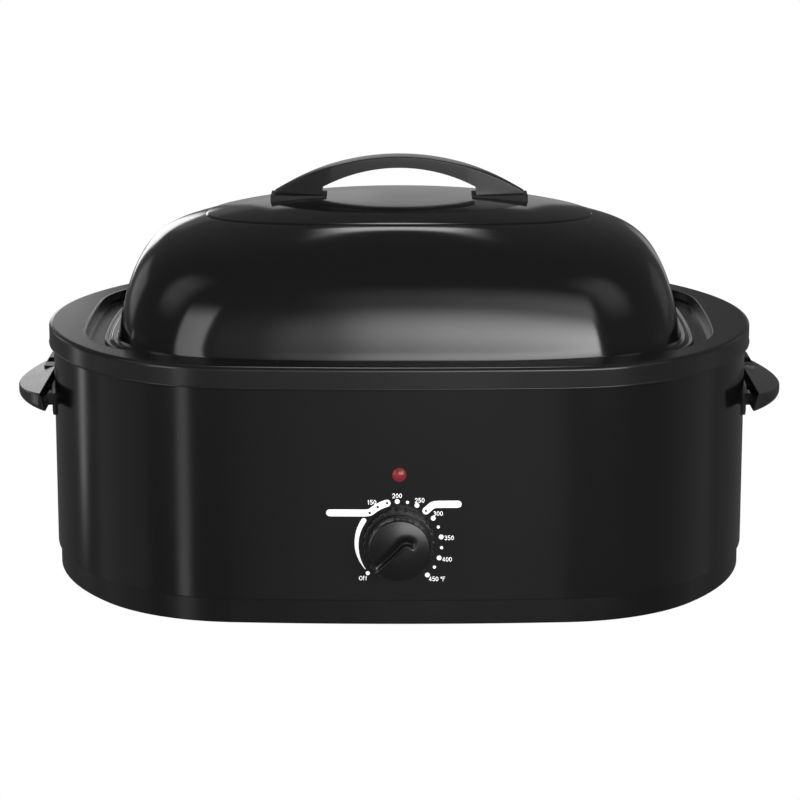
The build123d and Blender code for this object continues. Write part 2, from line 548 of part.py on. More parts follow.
def side_handle(sx):
    cx = SIDE_TIP - SIDE_R
    outer = cyl(SIDE_R, (cx, 0, SIDE_BOT), (0, 0, 1), SIDE_TOP - SIDE_BOT)
    d = outer & block(262.0, 300, -SIDE_HALF, SIDE_HALF, SIDE_BOT, SIDE_TOP)
    bot = [e for e in edges_near(d, SIDE_BOT) if e.length > 60 and e.geom_type == GeomType.CIRCLE]
    d = fillet(bot, 4.5)
    # the top falls away outwards, and the inner side leans in beneath
    d -= xz_prism([(SIDE_INNER, SIDE_TOP), (310.0, SIDE_TOP - 40 * SIDE_FALL), (310.0, 160.0), (SIDE_INNER, 160.0)],
                  -100, 100)
    top = [e for e in d.edges() if e.length > 60 and abs(e.center().X) > 283 and e.bounding_box().min.Z > 137.0]
    d = fillet(top, 1.4)
    d -= xz_prism([(240.0, 120.0), (265.5, 120.0), (266.0, SIDE_BOT), (SIDE_INNER, SIDE_TOP), (SIDE_INNER, 160.0),
                   (240.0, 160.0)], -100, REAR_ARM)
    # finger hollow in the underside
    inner = cyl(SIDE_R - 3.6, (cx, 0, SIDE_BOT - 2), (0, 0, 1), 15.2)
    hollow = inner & block(SIDE_INNER + 3.0, 300, -SIDE_HALF + 9, SIDE_HALF - 9, SIDE_BOT - 3, SIDE_BOT + 6.0)
    d -= hollow
    # rear arm, level with the grip, that carries on to the wall and a little further back
    d += block(250.0, 279.0, REAR_ARM, 83.0, SIDE_TOP - 5.5, SIDE_TOP)
    d += block(272.0, 279.0, 60.0, 83.0, SIDE_BOT, SIDE_TOP - 1.0)
    # mounting plate against the wall, and two webs to the grip
    plate_m = prism(off(WALL_PLAN, 2.1), 121.8, 138.6) & block(240.0, 300.0, -47.0, 47.0, 100.0, 160.0)
    plate_m += block(255.0, 273.2, -44.0, -31.0, 129.0, 138.0)
    plate_m += block(255.0, 273.2, 29.0, 41.5, 129.0, SIDE_TOP - 1.0)
    # lid rest slot in the rear half of the grip
    d -= block(250.0, 278.4, 42.2, 60.0, SIDE_BOT - 5, SIDE_TOP + 5)
    h = d + plate_m
    h -= prism(WALL_PLAN, 100, 160)
    for sy in (-1, 1):
        h -= cyl(1.75, (250.0, sy * SIDE_SCREW_Y, SIDE_SCREW_Z), (1, 0, 0), 22.0)
    if sx < 0:
        h = mirror(h, about=Plane(origin=(0, 0, 0), z_dir=(1, 0, 0)))
    return h


node("side_handle_left", side_handle(-1))
node("side_handle_right", side_handle(1))
sscr = []
for sx in (-1, 1):
    for sy in (-1, 1):
        x_in = (263.8 + WALL_OUT - WALL_T) - SIDE_SCREW_Y ** 2 / (2 * (236.6 + WALL_OUT - WALL_T)) - 0.95
        sscr.append(screw((sx * (x_in - 0.0), sy * SIDE_SCREW_Y, SIDE_SCREW_Z), (sx, 0, 0), 4.0, 2.4, 1.7, 8.6))
node("side_handle_screws", Compound(children=sscr))

# ------------------------------ roasting pan ------------------------------
PAN_OUTER = off(RIM_PLAN, -PAN_IN + PAN_T)
PAN_INNER = off(RIM_PLAN, -PAN_IN)
pan = prism(PAN_OUTER, PAN_FLOOR - PAN_T, FLANGE_Z + PAN_T)
pan = fillet(edges_near(pan, PAN_FLOOR - PAN_T), 21.4)
pan += prism(off(RIM_PLAN, -PAN_RIM_IN), FLANGE_Z, FLANGE_Z + PAN_T)
cav = prism(PAN_INNER, PAN_FLOOR, FLANGE_Z + 5)
cav = fillet(edges_near(cav, PAN_FLOOR), 20.0)
pan -= cav
node("roasting_pan", pan)

# ------------------------------ rack ------------------------------
RACK_PLAN = off(RIM_PLAN, -41.0)
frame_path = oval_wire(RACK_PLAN, RACK_Z)
p0 = frame_path.position_at(0)
t0 = frame_path.tangent_at(0)
grid = sweep(Plane(origin=tuple(p0), z_dir=tuple(t0)) * Circle(RACK_WIRE), path=frame_path)
for i in range(-5, 6):
    gx = i * 33.0
    hy_ = half_depth(RACK_PLAN, gx)
    grid += cyl(RACK_ROD, (gx, -hy_, RACK_Z + 2.4), (0, 1, 0), 2 * hy_)
for gy in (-70.0, 70.0):
    hxr = 193.0
    grid += cyl(RACK_ROD, (-hxr + 1, gy, RACK_Z), (1, 0, 0), 2 * hxr - 2)
for gx in (-132.0, 132.0):
    for gy in (-70.0, 70.0):
        grid += cyl(RACK_ROD, (gx, gy, PAN_FLOOR + 0.2), (0, 0, 1), RACK_Z - PAN_FLOOR)
        grid += cyl(4.0, (gx, gy, PAN_FLOOR + 0.2), (0, 0, 1), 2.0)
node("rack_grid", grid)
hands = []
for sx in (-1, 1):
    xr = sx * 199.6
    h = wire_tube([(xr, -46.0, 56.0), (xr, -46.0, 122.0), (xr, 46.0, 122.0), (xr, 46.0, 56.0)], 12.0, 2.0)
    hands.append(h)
node("rack_handles", Compound(children=hands))

# ------------------------------ lid ------------------------------
# height, half length, half depth of the dome, base to crown
LID_SECTIONS = [
    (183.4, 213.4, 158.6), (196.0, 211.9, 157.5), (209.0, 209.4, 155.5), (221.0, 205.9, 152.6),
    (232.0, 201.8, 148.9), (242.0, 196.4, 144.2), (251.0, 188.8, 137.2), (258.5, 179.6, 128.4),
    (264.5, 167.6, 117.8), (268.8, 154.8, 109.0), (272.2, 142.6, 101.8),
]
# the crown: a shallow domed plateau that stands a little proud of the shoulder
CROWN_HX = 138.8
CROWN_HY = 98.4
CROWN_TOP = 285.5


def lid_plan(hx, hy, d=0.0):
    """Rounded rectangle low down that turns into an ellipse-like oval higher up."""
    k = max(0.0, min(1.0, (213.4 - hx) / 110.0))
    rf0, rc0, re0 = 578.0, 85.0, 1278.0
    aspect = hy / hx
    rf1 = hx * 1.9 + 60.0
    re1 = hy * 1.12
    rc1 = hy * 0.62
    rf = rf0 * (1 - k) + rf1 * k
    re = re0 * (1 - k) + re1 * k if k > 0.98 else 1.0 / ((1 - k) / re0 + k / re1)
    rf = 1.0 / ((1 - k) / rf0 + k / rf1)
    rc = rc0 * (1 - k) + rc1 * k
    return (hx - d, hy - d, rf - d, rc - d, re - d)


def crown_z(x, y):
    """Height of the crown's outer face."""
    return CROWN_TOP - 3.81e-4 * x ** 2 - 1.283e-8 * x ** 4 - 4.2e-4 * y ** 2 - 7.11e-8 * y ** 4


def crown(d):
    """The crown down to the shoulder, d inside its outer face all round."""
    rows = [[Vector(*at(x, y, crown_z(x, y) - d)) for y in range(-130, 131, 20)] for x in range(-168, 169, 24)]
    above = extrude(Face.make_surface_from_array_of_points(rows), amount=60, dir=(0, 0, 1))
    top = LID_SECTIONS[-1][0]
    return prism(lid_plan(CROWN_HX, CROWN_HY, d), top - 3.0 - d, 300.0) - above


outer = loft([oval_face(lid_plan(hx, hy), z) for (z, hx, hy) in LID_SECTIONS])
inner = loft([oval_face(lid_plan(hx, hy, LID_T), z - (0.0 if i == 0 else LID_T * min(1.0, i / 8.0)))
              for i, (z, hx, hy) in enumerate(LID_SECTIONS)])
outer += crown(0.0)
inner += crown(LID_T)
lid = outer - inner
lid += prism(off(RIM_PLAN, -LID_RIM_IN), FLANGE_Z + PAN_T, FLANGE_Z + PAN_T + 1.2) - prism(
    off(RIM_PLAN, -LID_BASE_IN - 0.8), FLANGE_Z, FLANGE_Z + 4)
for sx in (-1, 1):
    lid -= cyl(2.6, (sx * HANDLE_SCREW_X, 0, 270), (0, 0, 1), 30)
node("lid_shell", lid)


# ------------------------------ lid handle ------------------------------
def arch_profile():
    """Side outline of the arched handle in the X-Z plane."""
    H = HANDLE_HALF
    with BuildSketch(Plane(origin=at(0, 0, 0), x_dir=(1, 0, 0), z_dir=(0, -1, 0))) as sk:
        with BuildLine():
            a = ThreePointArc((-H, 288.2), (0, HANDLE_TOP), (H, 288.2))
            b = Line((H, 288.2), (H, FOOT_Z))
            c = Line((H, FOOT_Z), (58.6, FOOT_Z))
            d = Line((58.6, FOOT_Z), (58.6, 291.6))
            e = ThreePointArc((58.6, 291.6), (0, HANDLE_UNDER), (-58.6, 291.6))
            f = Line((-58.6, 291.6), (-58.6, FOOT_Z))
            g = Line((-58.6, FOOT_Z), (-H, FOOT_Z))
            h = Line((-H, FOOT_Z), (-H, 288.2))
        make_face()
    return sk.sketch


arch = extrude(arch_profile(), amount=HANDLE_W / 2, both=True)
for sx in (-1, 1):
    arch -= cyl(1.9, (sx * HANDLE_SCREW_X, 0, 280), (0, 0, 1), 16.0)
node("lid_handle", arch)

gaskets = []
washers = []
lscrews = []
for sx in (-1, 1):
    g = block(min(sx * 55.6, sx * 98.0), max(sx * 55.6, sx * 98.0), -14.5, 14.5, 276.0, FOOT_Z)
    g -= outer
    g -= cyl(2.6, (sx * HANDLE_SCREW_X, 0, 270), (0, 0, 1), 30)
    gaskets.append(g)
    zs = 280.9
    w = cyl(7.0, (sx * HANDLE_SCREW_X, 0, zs - 1.0), (0, 0, 1), 1.0) - cyl(2.3, (sx * HANDLE_SCREW_X, 0, zs - 2), (0, 0, 1), 4)
    washers.append(w)
    lscrews.append(screw((sx * HANDLE_SCREW_X, 0, zs - 1.0), (0, 0, 1), 4.2, 2.6, 1.85, 13.5))
node("lid_handle_gaskets", Compound(children=gaskets))
node("lid_handle_washers", Compound(children=washers))
node("lid_handle_screws", Compound(children=lscrews))
print(len(OUT), "nodes")
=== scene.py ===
import math

import bmesh
import bpy
import numpy as np
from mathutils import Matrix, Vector


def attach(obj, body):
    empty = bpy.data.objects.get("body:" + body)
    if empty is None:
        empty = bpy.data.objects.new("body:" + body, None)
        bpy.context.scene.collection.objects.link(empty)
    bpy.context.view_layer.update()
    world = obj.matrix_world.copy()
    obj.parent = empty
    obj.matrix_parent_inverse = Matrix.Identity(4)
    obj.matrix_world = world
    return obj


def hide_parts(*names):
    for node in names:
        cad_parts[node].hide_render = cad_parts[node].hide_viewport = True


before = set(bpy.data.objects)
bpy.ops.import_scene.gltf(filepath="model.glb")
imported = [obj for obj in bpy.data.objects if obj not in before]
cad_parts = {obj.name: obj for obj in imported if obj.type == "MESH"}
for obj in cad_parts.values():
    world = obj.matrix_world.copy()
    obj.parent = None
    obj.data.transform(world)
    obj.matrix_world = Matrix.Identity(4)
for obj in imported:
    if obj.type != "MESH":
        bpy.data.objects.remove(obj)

scene = bpy.context.scene
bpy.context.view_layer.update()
Y0 = 11.0           # the oven's centre line stands 11 mm behind the frame's origin
MM = 0.001
DEG = math.pi / 180.0


# ------------------------------------------------------------------ materials
def nodes_of(mat):
    mat.use_nodes = True
    nt = mat.node_tree
    nt.nodes.clear()
    return nt


def material(name, color, rough, scale=220.0, bump=0.03, rough_var=0.05, metallic=0.0, coat=0.0,
             coat_rough=0.05, spec=0.5, ior=1.5, fine=0.0, fine_scale=1500.0, color_var=0.15, emit=None,
             emit_strength=0.0, transmission=0.0, stretch=None, alpha=1.0):
    """A Principled finish with its own roughness, tint and relief from noise in object space."""
    mat = bpy.data.materials.new(name)
    nt = nodes_of(mat)
    out = nt.nodes.new("ShaderNodeOutputMaterial")
    bsdf = nt.nodes.new("ShaderNodeBsdfPrincipled")
    nt.links.new(bsdf.outputs[0], out.inputs[0])
    tc = nt.nodes.new("ShaderNodeTexCoord")
    mp = nt.nodes.new("ShaderNodeMapping")
    nt.links.new(tc.outputs["Object"], mp.inputs[0])
    if stretch:
        mp.inputs["Scale"].default_value = stretch
    noise = nt.nodes.new("ShaderNodeTexNoise")
    noise.inputs["Scale"].default_value = scale
    noise.inputs["Detail"].default_value = 4.0
    noise.inputs["Roughness"].default_value = 0.55
    nt.links.new(mp.outputs[0], noise.inputs["Vector"])
    broad = nt.nodes.new("ShaderNodeTexNoise")
    broad.inputs["Scale"].default_value = 9.0
    broad.inputs["Detail"].default_value = 3.0
    nt.links.new(mp.outputs[0], broad.inputs["Vector"])
    # roughness
    mr = nt.nodes.new("ShaderNodeMapRange")
    mr.inputs["From Min"].default_value = 0.3
    mr.inputs["From Max"].default_value = 0.7
    mr.inputs["To Min"].default_value = max(0.0, rough - rough_var)
    mr.inputs["To Max"].default_value = min(1.0, rough + rough_var)
    nt.links.new(broad.outputs["Fac"], mr.inputs["Value"])
    nt.links.new(mr.outputs[0], bsdf.inputs["Roughness"])
    # tint
    mix = nt.nodes.new("ShaderNodeMix")
    mix.data_type = "RGBA"
    a = [max(0.0, c * (1 - color_var)) for c in color]
    b = [min(1.0, c * (1 + color_var)) for c in color]
    mix.inputs[6].default_value = (*a, 1.0)
    mix.inputs[7].default_value = (*b, 1.0)
    nt.links.new(noise.outputs["Fac"], mix.inputs[0])
    nt.links.new(mix.outputs[2], bsdf.inputs["Base Color"])
    # relief
    bmp = nt.nodes.new("ShaderNodeBump")
    bmp.inputs["Strength"].default_value = bump
    bmp.inputs["Distance"].default_value = 0.0002
    nt.links.new(noise.outputs["Fac"], bmp.inputs["Height"])
    last = bmp
    if fine > 0:
        n2 = nt.nodes.new("ShaderNodeTexNoise")
        n2.inputs["Scale"].default_value = fine_scale
        n2.inputs["Detail"].default_value = 2.0
        nt.links.new(mp.outputs[0], n2.inputs["Vector"])
        b2 = nt.nodes.new("ShaderNodeBump")
        b2.inputs["Strength"].default_value = fine
        b2.inputs["Distance"].default_value = 0.00012
        nt.links.new(n2.outputs["Fac"], b2.inputs["Height"])
        nt.links.new(bmp.outputs[0], b2.inputs["Normal"])
        last = b2
    nt.links.new(last.outputs[0], bsdf.inputs["Normal"])
    bsdf.inputs["Metallic"].default_value = metallic
    bsdf.inputs["IOR"].default_value = ior
    bsdf.inputs["Specular IOR Level"].default_value = spec
    bsdf.inputs["Coat Weight"].default_value = coat
    bsdf.inputs["Coat Roughness"].default_value = coat_rough
    bsdf.inputs["Transmission Weight"].default_value = transmission
    if emit:
        bsdf.inputs["Emission Color"].default_value = (*emit, 1.0)
        bsdf.inputs["Emission Strength"].default_value = emit_strength
    return mat


M = {
    "wall": material("wall_enamel", (0.0080, 0.0080, 0.0082), 0.15, scale=260, bump=0.012, rough_var=0.02, fine=0.008),
    "lid": material("lid_enamel", (0.0085, 0.0085, 0.0086), 0.10, scale=180, bump=0.008, rough_var=0.015, fine=0.005),
    "rim": material("rim_plastic", (0.0125, 0.0125, 0.0127), 0.21, scale=420, bump=0.02, rough_var=0.03, fine=0.03),
    "base": material("base_plastic", (0.0045, 0.0045, 0.0047), 0.26, scale=420, bump=0.03, rough_var=0.03, fine=0.05),
    "handle": material("handle_plastic", (0.012, 0.012, 0.0122), 0.20, scale=500, bump=0.03, rough_var=0.04, fine=0.08),
    "knob": material("knob_plastic", (0.0095, 0.0095, 0.0097), 0.24, scale=500, bump=0.02, rough_var=0.03, fine=0.03),
    "pan": material("pan_enamel", (0.009, 0.009, 0.0095), 0.20, scale=300, bump=0.03, rough_var=0.03, fine=0.02,
                    color_var=0.25),
    "well": material("well_steel", (0.40, 0.40, 0.41), 0.34, scale=90, bump=0.06, rough_var=0.07, metallic=1.0,
                     stretch=(1.0, 1.0, 8.0)),
    "galv": material("galvanised_steel", (0.46, 0.47, 0.48), 0.42, scale=70, bump=0.08, rough_var=0.10, metallic=1.0,
                     color_var=0.22),
    "zinc": material("zinc_fasteners", (0.55, 0.55, 0.54), 0.30, scale=300, bump=0.05, rough_var=0.06, metallic=1.0),
    "rubber": material("foot_rubber", (0.014, 0.014, 0.014), 0.72, scale=600, bump=0.12, rough_var=0.06, fine=0.15),
    "gasket": material("gasket_rubber", (0.0035, 0.0035, 0.0035), 0.62, scale=600, bump=0.08, rough_var=0.06, fine=0.1),
    "wool": material("glass_wool", (0.62, 0.56, 0.30), 0.95, scale=160, bump=0.9, rough_var=0.03, color_var=0.3),
    "sheath": material("element_sheath", (0.10, 0.10, 0.10), 0.48, scale=240, bump=0.12, rough_var=0.08, metallic=0.6),
    "terminal": material("terminal_steel", (0.58, 0.57, 0.54), 0.32, scale=300, bump=0.05, rough_var=0.05, metallic=1.0),
    "steatite": material("steatite", (0.72, 0.69, 0.62), 0.55, scale=400, bump=0.1, rough_var=0.05),
    "brass": material("probe_brass", (0.66, 0.47, 0.20), 0.30, scale=260, bump=0.05, rough_var=0.06, metallic=1.0),
    "lamp": material("lamp_glass", (0.75, 0.55, 0.42), 0.08, scale=60, bump=0.02, rough_var=0.02),
    "nylon": material("gland_nylon", (0.010, 0.010, 0.010), 0.45, scale=500, bump=0.06, rough_var=0.05, fine=0.06),
    "wire": material("wire_jacket", (0.55, 0.53, 0.48), 0.55, scale=300, bump=0.06, rough_var=0.05),
    "chrome": material("rack_chrome", (0.72, 0.72, 0.73), 0.12, scale=200, bump=0.02, rough_var=0.04, metallic=1.0),
    # the white print also glows (emission): a painted glow over its own white ink
    "print": material("dial_print", (0.80, 0.80, 0.80), 0.45, scale=900, bump=0.04, rough_var=0.04, color_var=0.03,
                      emit=(1.0, 1.0, 1.0), emit_strength=0.60),
    "print_dark": material("dial_print_gap", (0.010, 0.010, 0.010), 0.32, scale=500, bump=0.03, rough_var=0.03),
    # the red lens glows (emission) although the lamp behind it is unlit: a painted glow over its own red
    "lens": material("lens_red", (0.22, 0.020, 0.026), 0.25, scale=700, bump=0.10, rough_var=0.04, fine=0.10,
                     emit=(0.42, 0.050, 0.060), emit_strength=0.13),
}


# ------------------------------------------------------------------ mesh tools
def mesh_object(name, verts, faces, mat, body, replaces=(), sharp=32.0, weighted=True, smooth=True):
    me = bpy.data.meshes.new(name)
    me.from_pydata([tuple(map(float, v)) for v in verts], [], faces)
    me.validate()
    bm = bmesh.new()
    bm.from_mesh(me)
    bmesh.ops.remove_doubles(bm, verts=bm.verts, dist=1e-6)
    bmesh.ops.recalc_face_normals(bm, faces=bm.faces)
    bm.to_mesh(me)
    bm.free()
    for p in me.polygons:
        p.use_smooth = smooth
    if smooth:
        me.set_sharp_from_angle(angle=sharp * DEG)
    me.materials.append(mat)
    ob = bpy.data.objects.new(name, me)
    scene.collection.objects.link(ob)
    if weighted and smooth:
        m = ob.modifiers.new("wn", "WEIGHTED_NORMAL")
        m.keep_sharp = True
        m.weight = 60
    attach(ob, body)
    if replaces:
        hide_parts(*replaces)
    return ob


def to_row(p):
    """Body-frame millimetres to row-frame metres."""
    p = np.asarray(p, float).reshape(-1, 3).copy()
    p[:, 1] += Y0
    return p * MM


def rings_to_mesh(rings, close_profile=True):
    """rings: list of (N,3) loops, each closed; consecutive loops are joined."""
    n = len(rings[0])
    verts = np.concatenate(rings)
    faces = []
    k = len(rings)
    for i in range(k if close_profile else k - 1):
        a, b = i * n, ((i + 1) % k) * n
        for j in range(n):
            j2 = (j + 1) % n
            faces.append((a + j, a + j2, b + j2, b + j))
    return verts, faces


# ------------------------------------------------------------------ the three-arc plan
BODY = (263.8, 198.7, 1692.6, 129.4, 236.6)
RIM = (236.9, 182.0, 600.0, 107.0, 1300.0)


def plan_arrays(plan, counts=(44, 40, 36)):
    """Arc centre, radius and outward normal all the way round, so that any offset of the plan is exact."""
    hx, hy, rf, rc, re = plan
    fx, fy, ex, ey = 0.0, hy - rf, hx - re, 0.0
    r1, r2 = rf - rc, re - rc
    d = math.hypot(ex - fx, ey - fy)
    a = (r1 * r1 - r2 * r2 + d * d) / (2 * d)
    h = math.sqrt(max(r1 * r1 - a * a, 0.0))
    ux, uy = (ex - fx) / d, (ey - fy) / d
    px, py = fx + a * ux, fy + a * uy
    cx, cy = max([(px - h * uy, py + h * ux), (px + h * uy, py - h * ux)], key=lambda c: c[0] + c[1])
    phi1 = math.atan2(cy - fy, cx - fx)
    phi2 = math.atan2(cy - ey, cx - ex)
    q = []
    for t in np.linspace(0, phi2, counts[2], endpoint=False):
        q.append((ex, ey, re, t))
    for t in np.linspace(phi2, phi1, counts[1], endpoint=False):
        q.append((cx, cy, rc, t))
    for t in np.linspace(phi1, math.pi / 2, counts[0], endpoint=True):
        q.append((fx, fy, rf, t))
    out = list(q)
    for (x, y, r, t) in reversed(q[:-1]):
        out.append((-x, y, r, math.pi - t))
    for (x, y, r, t) in q[1:]:
        out.append((-x, -y, r, math.pi + t))
    for (x, y, r, t) in reversed(q[1:-1]):
        out.append((x, -y, r, -t))
    out = np.array(out)
    c = out[:, :2]
    r = out[:, 2]
    n = np.stack([np.cos(out[:, 3]), np.sin(out[:, 3])], 1)
    return c, r, n


def soft_plan(plan, sigma, count=640):
    """Points and outward normals of a plan, evenly spaced, with its changes of curvature eased over sigma mm."""
    c, r, n = plan_arrays(plan, (220, 200, 180))
    xy = c + r[:, None] * n
    seg = np.hypot(*np.diff(np.vstack([xy, xy[:1]]), axis=0).T)
    t = np.concatenate([[0], np.cumsum(seg)])
    tq = np.linspace(0, t[-1], 4096, endpoint=False)
    X = np.interp(tq, t, np.append(xy[:, 0], xy[0, 0]))
    Y = np.interp(tq, t, np.append(xy[:, 1], xy[0, 1]))
    step_ = t[-1] / 4096
    f = np.fft.fftfreq(4096, step_)
    g = np.exp(-2 * (math.pi * sigma * f) ** 2)
    X, Y = np.real(np.fft.ifft(np.fft.fft(X) * g)), np.real(np.fft.ifft(np.fft.fft(Y) * g))
    tx, ty = np.roll(X, -1) - np.roll(X, 1), np.roll(Y, -1) - np.roll(Y, 1)
    L = np.hypot(tx, ty)
    nx, ny = ty / L, -tx / L
    # more points where the plan turns fast
    turn = np.abs(np.unwrap(np.arctan2(ny, nx)) - np.roll(np.unwrap(np.arctan2(ny, nx)), 1))
    turn = np.minimum(turn, 0.1)
    w = np.cumsum(step_ / t[-1] + 0.9 * turn / turn.sum())
    w = (w - w[0]) / (w[-1] - w[0] + (w[1] - w[0]))
    q = np.linspace(0, 1, count, endpoint=False)
    k = np.interp(q, w, np.arange(4096))
    pick = lambda v: np.interp(k, np.arange(4097), np.append(v, v[0]))
    P = np.stack([pick(X), pick(Y)], 1)
    N = np.stack([pick(nx), pick(ny)], 1)
    N /= np.linalg.norm(N, axis=1)[:, None]
    return P, N


PB = soft_plan(BODY, 7.0)
PR = soft_plan(RIM, 6.0)


def loop(pa, d, z):
    p_, n_ = pa
    xy = p_ + d * n_
    return np.column_stack([xy, np.full(len(xy), float(z))])


def fillet_pts(d0, z0, d1, z1, cd, cz, segs):
    """Points of a quarter round from (d0,z0) to (d1,z1) about (cd,cz), ends included."""
    a0 = math.atan2(z0 - cz, d0 - cd)
    a1 = math.atan2(z1 - cz, d1 - cd)
    if a1 - a0 > math.pi:
        a1 -= 2 * math.pi
    if a1 - a0 < -math.pi:
        a1 += 2 * math.pi
    r = math.hypot(d0 - cd, z0 - cz)
    return [(cd + r * math.cos(a0 + (a1 - a0) * i / segs), cz + r * math.sin(a0 + (a1 - a0) * i / segs))
            for i in range(segs + 1)]


def polar_radius(pa, d):
    """Radius of a plan loop as a function of polar angle."""
    p = loop(pa, d, 0)
    th = np.arctan2(p[:, 1], p[:, 0])
    r = np.hypot(p[:, 0], p[:, 1])
    o = np.argsort(th)
    th, r = th[o], r[o]
    th = np.concatenate([th - 2 * math.pi, th, th + 2 * math.pi])
    r = np.concatenate([r, r, r])
    return lambda a: np.interp(a, th, r)


# ------------------------------------------------------------------ rim ring
RT, RB, RO = 190.6, 174.6, 5.4
def by_angle(pa, angles):
    """The same plan's points and normals where they cross the given polar angles."""
    p_, n_ = pa
    th = np.unwrap(np.arctan2(p_[:, 1], p_[:, 0]))
    if th[-1] < th[0]:
        th, p_, n_ = th[::-1], p_[::-1], n_[::-1]
    th = np.concatenate([th - 2 * math.pi, th, th + 2 * math.pi])
    P, N = np.vstack([p_] * 3), np.vstack([n_] * 3)
    P = np.stack([np.interp(angles, th, P[:, i]) for i in (0, 1)], 1)
    N = np.stack([np.interp(angles, th, N[:, i]) for i in (0, 1)], 1)
    return P, N / np.linalg.norm(N, axis=1)[:, None]


RING_ANGLES = np.unwrap(np.arctan2(PB[0][:, 1], PB[0][:, 0]))
PRA = by_angle(PR, RING_ANGLES)
prof = []
prof += [("O", d, z) for d, z in fillet_pts(RO - 0.5, RB, RO + 0.35, RB + 0.75, RO - 0.4, RB + 0.8, 4)]
prof += [("O", RO + 0.30, RB + 1.15), ("O", RO, RB + 1.5)]
prof += [("O", RO, RB + 2.2), ("O", RO, RT - 4.2)]
prof += [("O", d, z) for d, z in fillet_pts(RO, RT - 3.2, RO - 2.2, RT - 0.25, RO - 2.6, RT - 2.9, 8)]
prof += [("O", RO - 2.9, RT - 0.02), ("O", RO - 3.6, RT)]
prof += [("I", 5.0, RT), ("I", 3.0, RT), ("I", 2.1, RT), ("I", 1.75, RT + 0.01), ("I", 1.35, RT + 0.05),
         ("I", 1.0, RT + 0.08), ("I", 0.65, RT + 0.08), ("I", 0.32, RT - 0.02), ("I", 0.1, RT - 0.2),
         ("I", 0.0, RT - 0.5)]
prof += [("I", 0.0, RT - 1.2), ("I", 0.0, 182.0), ("I", 2.5, 182.0), ("I", 2.5, RT - 3.0)]
prof += [("O", RO - 2.5, RT - 3.0), ("O", RO - 2.5, RB)]
rings = [loop(PB if w == "O" else PRA, d, z) for (w, d, z) in prof]
v, f = rings_to_mesh(rings)
mesh_object("rim_ring_skin", to_row(v), f, M["rim"], "root", ("rim_ring",))


# ------------------------------------------------------------------ housing wall
WO = 2.2
keep = [i for i in range(len(PB[0])) if not (PB[0][i][1] > 0 and abs(PB[0][i][0]) < 169.5)]
# start at the gap in the back and go right round the front
first = max(range(len(keep)), key=lambda k: (keep[k] - keep[k - 1]) % len(PB[0]))
order = keep[first:] + keep[:first]
wprof = [(WO - 1.0, 19.5), (WO - 0.6, 19.5)] + [(WO - 0.6 + 0.6 * math.sin(k / 5 * math.pi / 2),
                                                20.1 - 0.6 * math.cos(k / 5 * math.pi / 2)) for k in range(1, 6)]
wprof += [(WO, 21.5)] + [(WO, z) for z in np.linspace(30, 183, 8)] + [(WO, 186.5), (WO - 1.0, 186.5)]
rings = []
for d, z in wprof:
    lp = loop(PB, d, z)[order]
    rings.append(lp)
nw = len(order)
v = np.concatenate(rings)
f = []
K = len(rings)
for i in range(K):
    i2 = (i + 1) % K
    for j in range(nw - 1):
        f.append((i * nw + j, i * nw + j + 1, i2 * nw + j + 1, i2 * nw + j))
f.append(tuple(i * nw for i in range(K)))
f.append(tuple(i * nw + nw - 1 for i in reversed(range(K))))
mesh_object("housing_wall_skin", to_row(v), f, M["wall"], "root", ("housing_wall",))


# ------------------------------------------------------------------ lid
def pchip(x, y, q):
    """Monotone cubic through the points."""
    x, y, q = np.asarray(x, float), np.asarray(y, float), np.asarray(q, float)
    h = np.diff(x)
    dlt = np.diff(y) / h
    m = np.zeros(len(x))
    for i in range(1, len(x) - 1):
        if dlt[i - 1] * dlt[i] > 0:
            w1, w2 = 2 * h[i] + h[i - 1], h[i] + 2 * h[i - 1]
            m[i] = (w1 + w2) / (w1 / dlt[i - 1] + w2 / dlt[i])
    m[0] = dlt[0] if len(dlt) < 2 else ((2 * h[0] + h[1]) * dlt[0] - h[0] * dlt[1]) / (h[0] + h[1])
    m[-1] = ((2 * h[-1] + h[-2]) * dlt[-1] - h[-1] * dlt[-2]) / (h[-1] + h[-2])
    i = np.clip(np.searchsorted(x, q) - 1, 0, len(x) - 2)
    t = (q - x[i]) / h[i]
    h00 = (1 + 2 * t) * (1 - t) ** 2
    h10 = t * (1 - t) ** 2
    h01 = t * t * (3 - 2 * t)
    h11 = t * t * (t - 1)
    return h00 * y[i] + h10 * h[i] * m[i] + h01 * y[i + 1] + h11 * h[i] * m[i + 1]


LU = [0, 50, 96, 127, 148, 160, 176, 187, 198, 206, 211.3, 213.4]
LZX = [285.5, 284.4, 281.1, 275.9, 271.0, 266.7, 260.3, 252.6, 239.6, 220.7, 200.0, 184.6]
LZY = [285.5, 284.7, 282.5, 279.2, 276.0, 270.4, 261.6, 253.8, 239.9, 220.9, 200.0, 184.6]
LHU = [0, 30, 60, 96, 120, 148, 160, 176, 187, 198, 206, 213.4]
LHY = [0, 19.8, 40.2, 63.6, 78.6, 94.6, 106.3, 122.9, 134.6, 145.4, 152.6, 158.6]
LNU = [0, 100, 148, 176, 198, 213.4]
LNN = [2.0, 2.0, 2.1, 2.55, 3.0, 3.4]
uu = np.concatenate([np.linspace(0, 200, 800), np.linspace(200.1, 213.4, 500)])
zz = pchip(LU, LZX, uu)
ss = np.concatenate([[0], np.cumsum(np.hypot(np.diff(uu), np.diff(zz)))])
SN = 1400
sg = np.linspace(0, ss[-1], SN)
ds = sg[1] - sg[0]


def smooth(values, sigma, even):
    """Gaussian smoothing along the profile; the apex and the base edge keep their places."""
    v = np.asarray(values, float)
    w = int(4 * sigma / ds)
    left = v[1:w + 1][::-1] if even else 2 * v[0] - v[1:w + 1][::-1]
    right = 2 * v[-1] - v[-w - 1:-1][::-1]
    x = np.concatenate([left, v, right])
    k = np.exp(-0.5 * (np.arange(-w, w + 1) * ds / sigma) ** 2)
    k /= k.sum()
    return np.convolve(x, k, mode="valid")


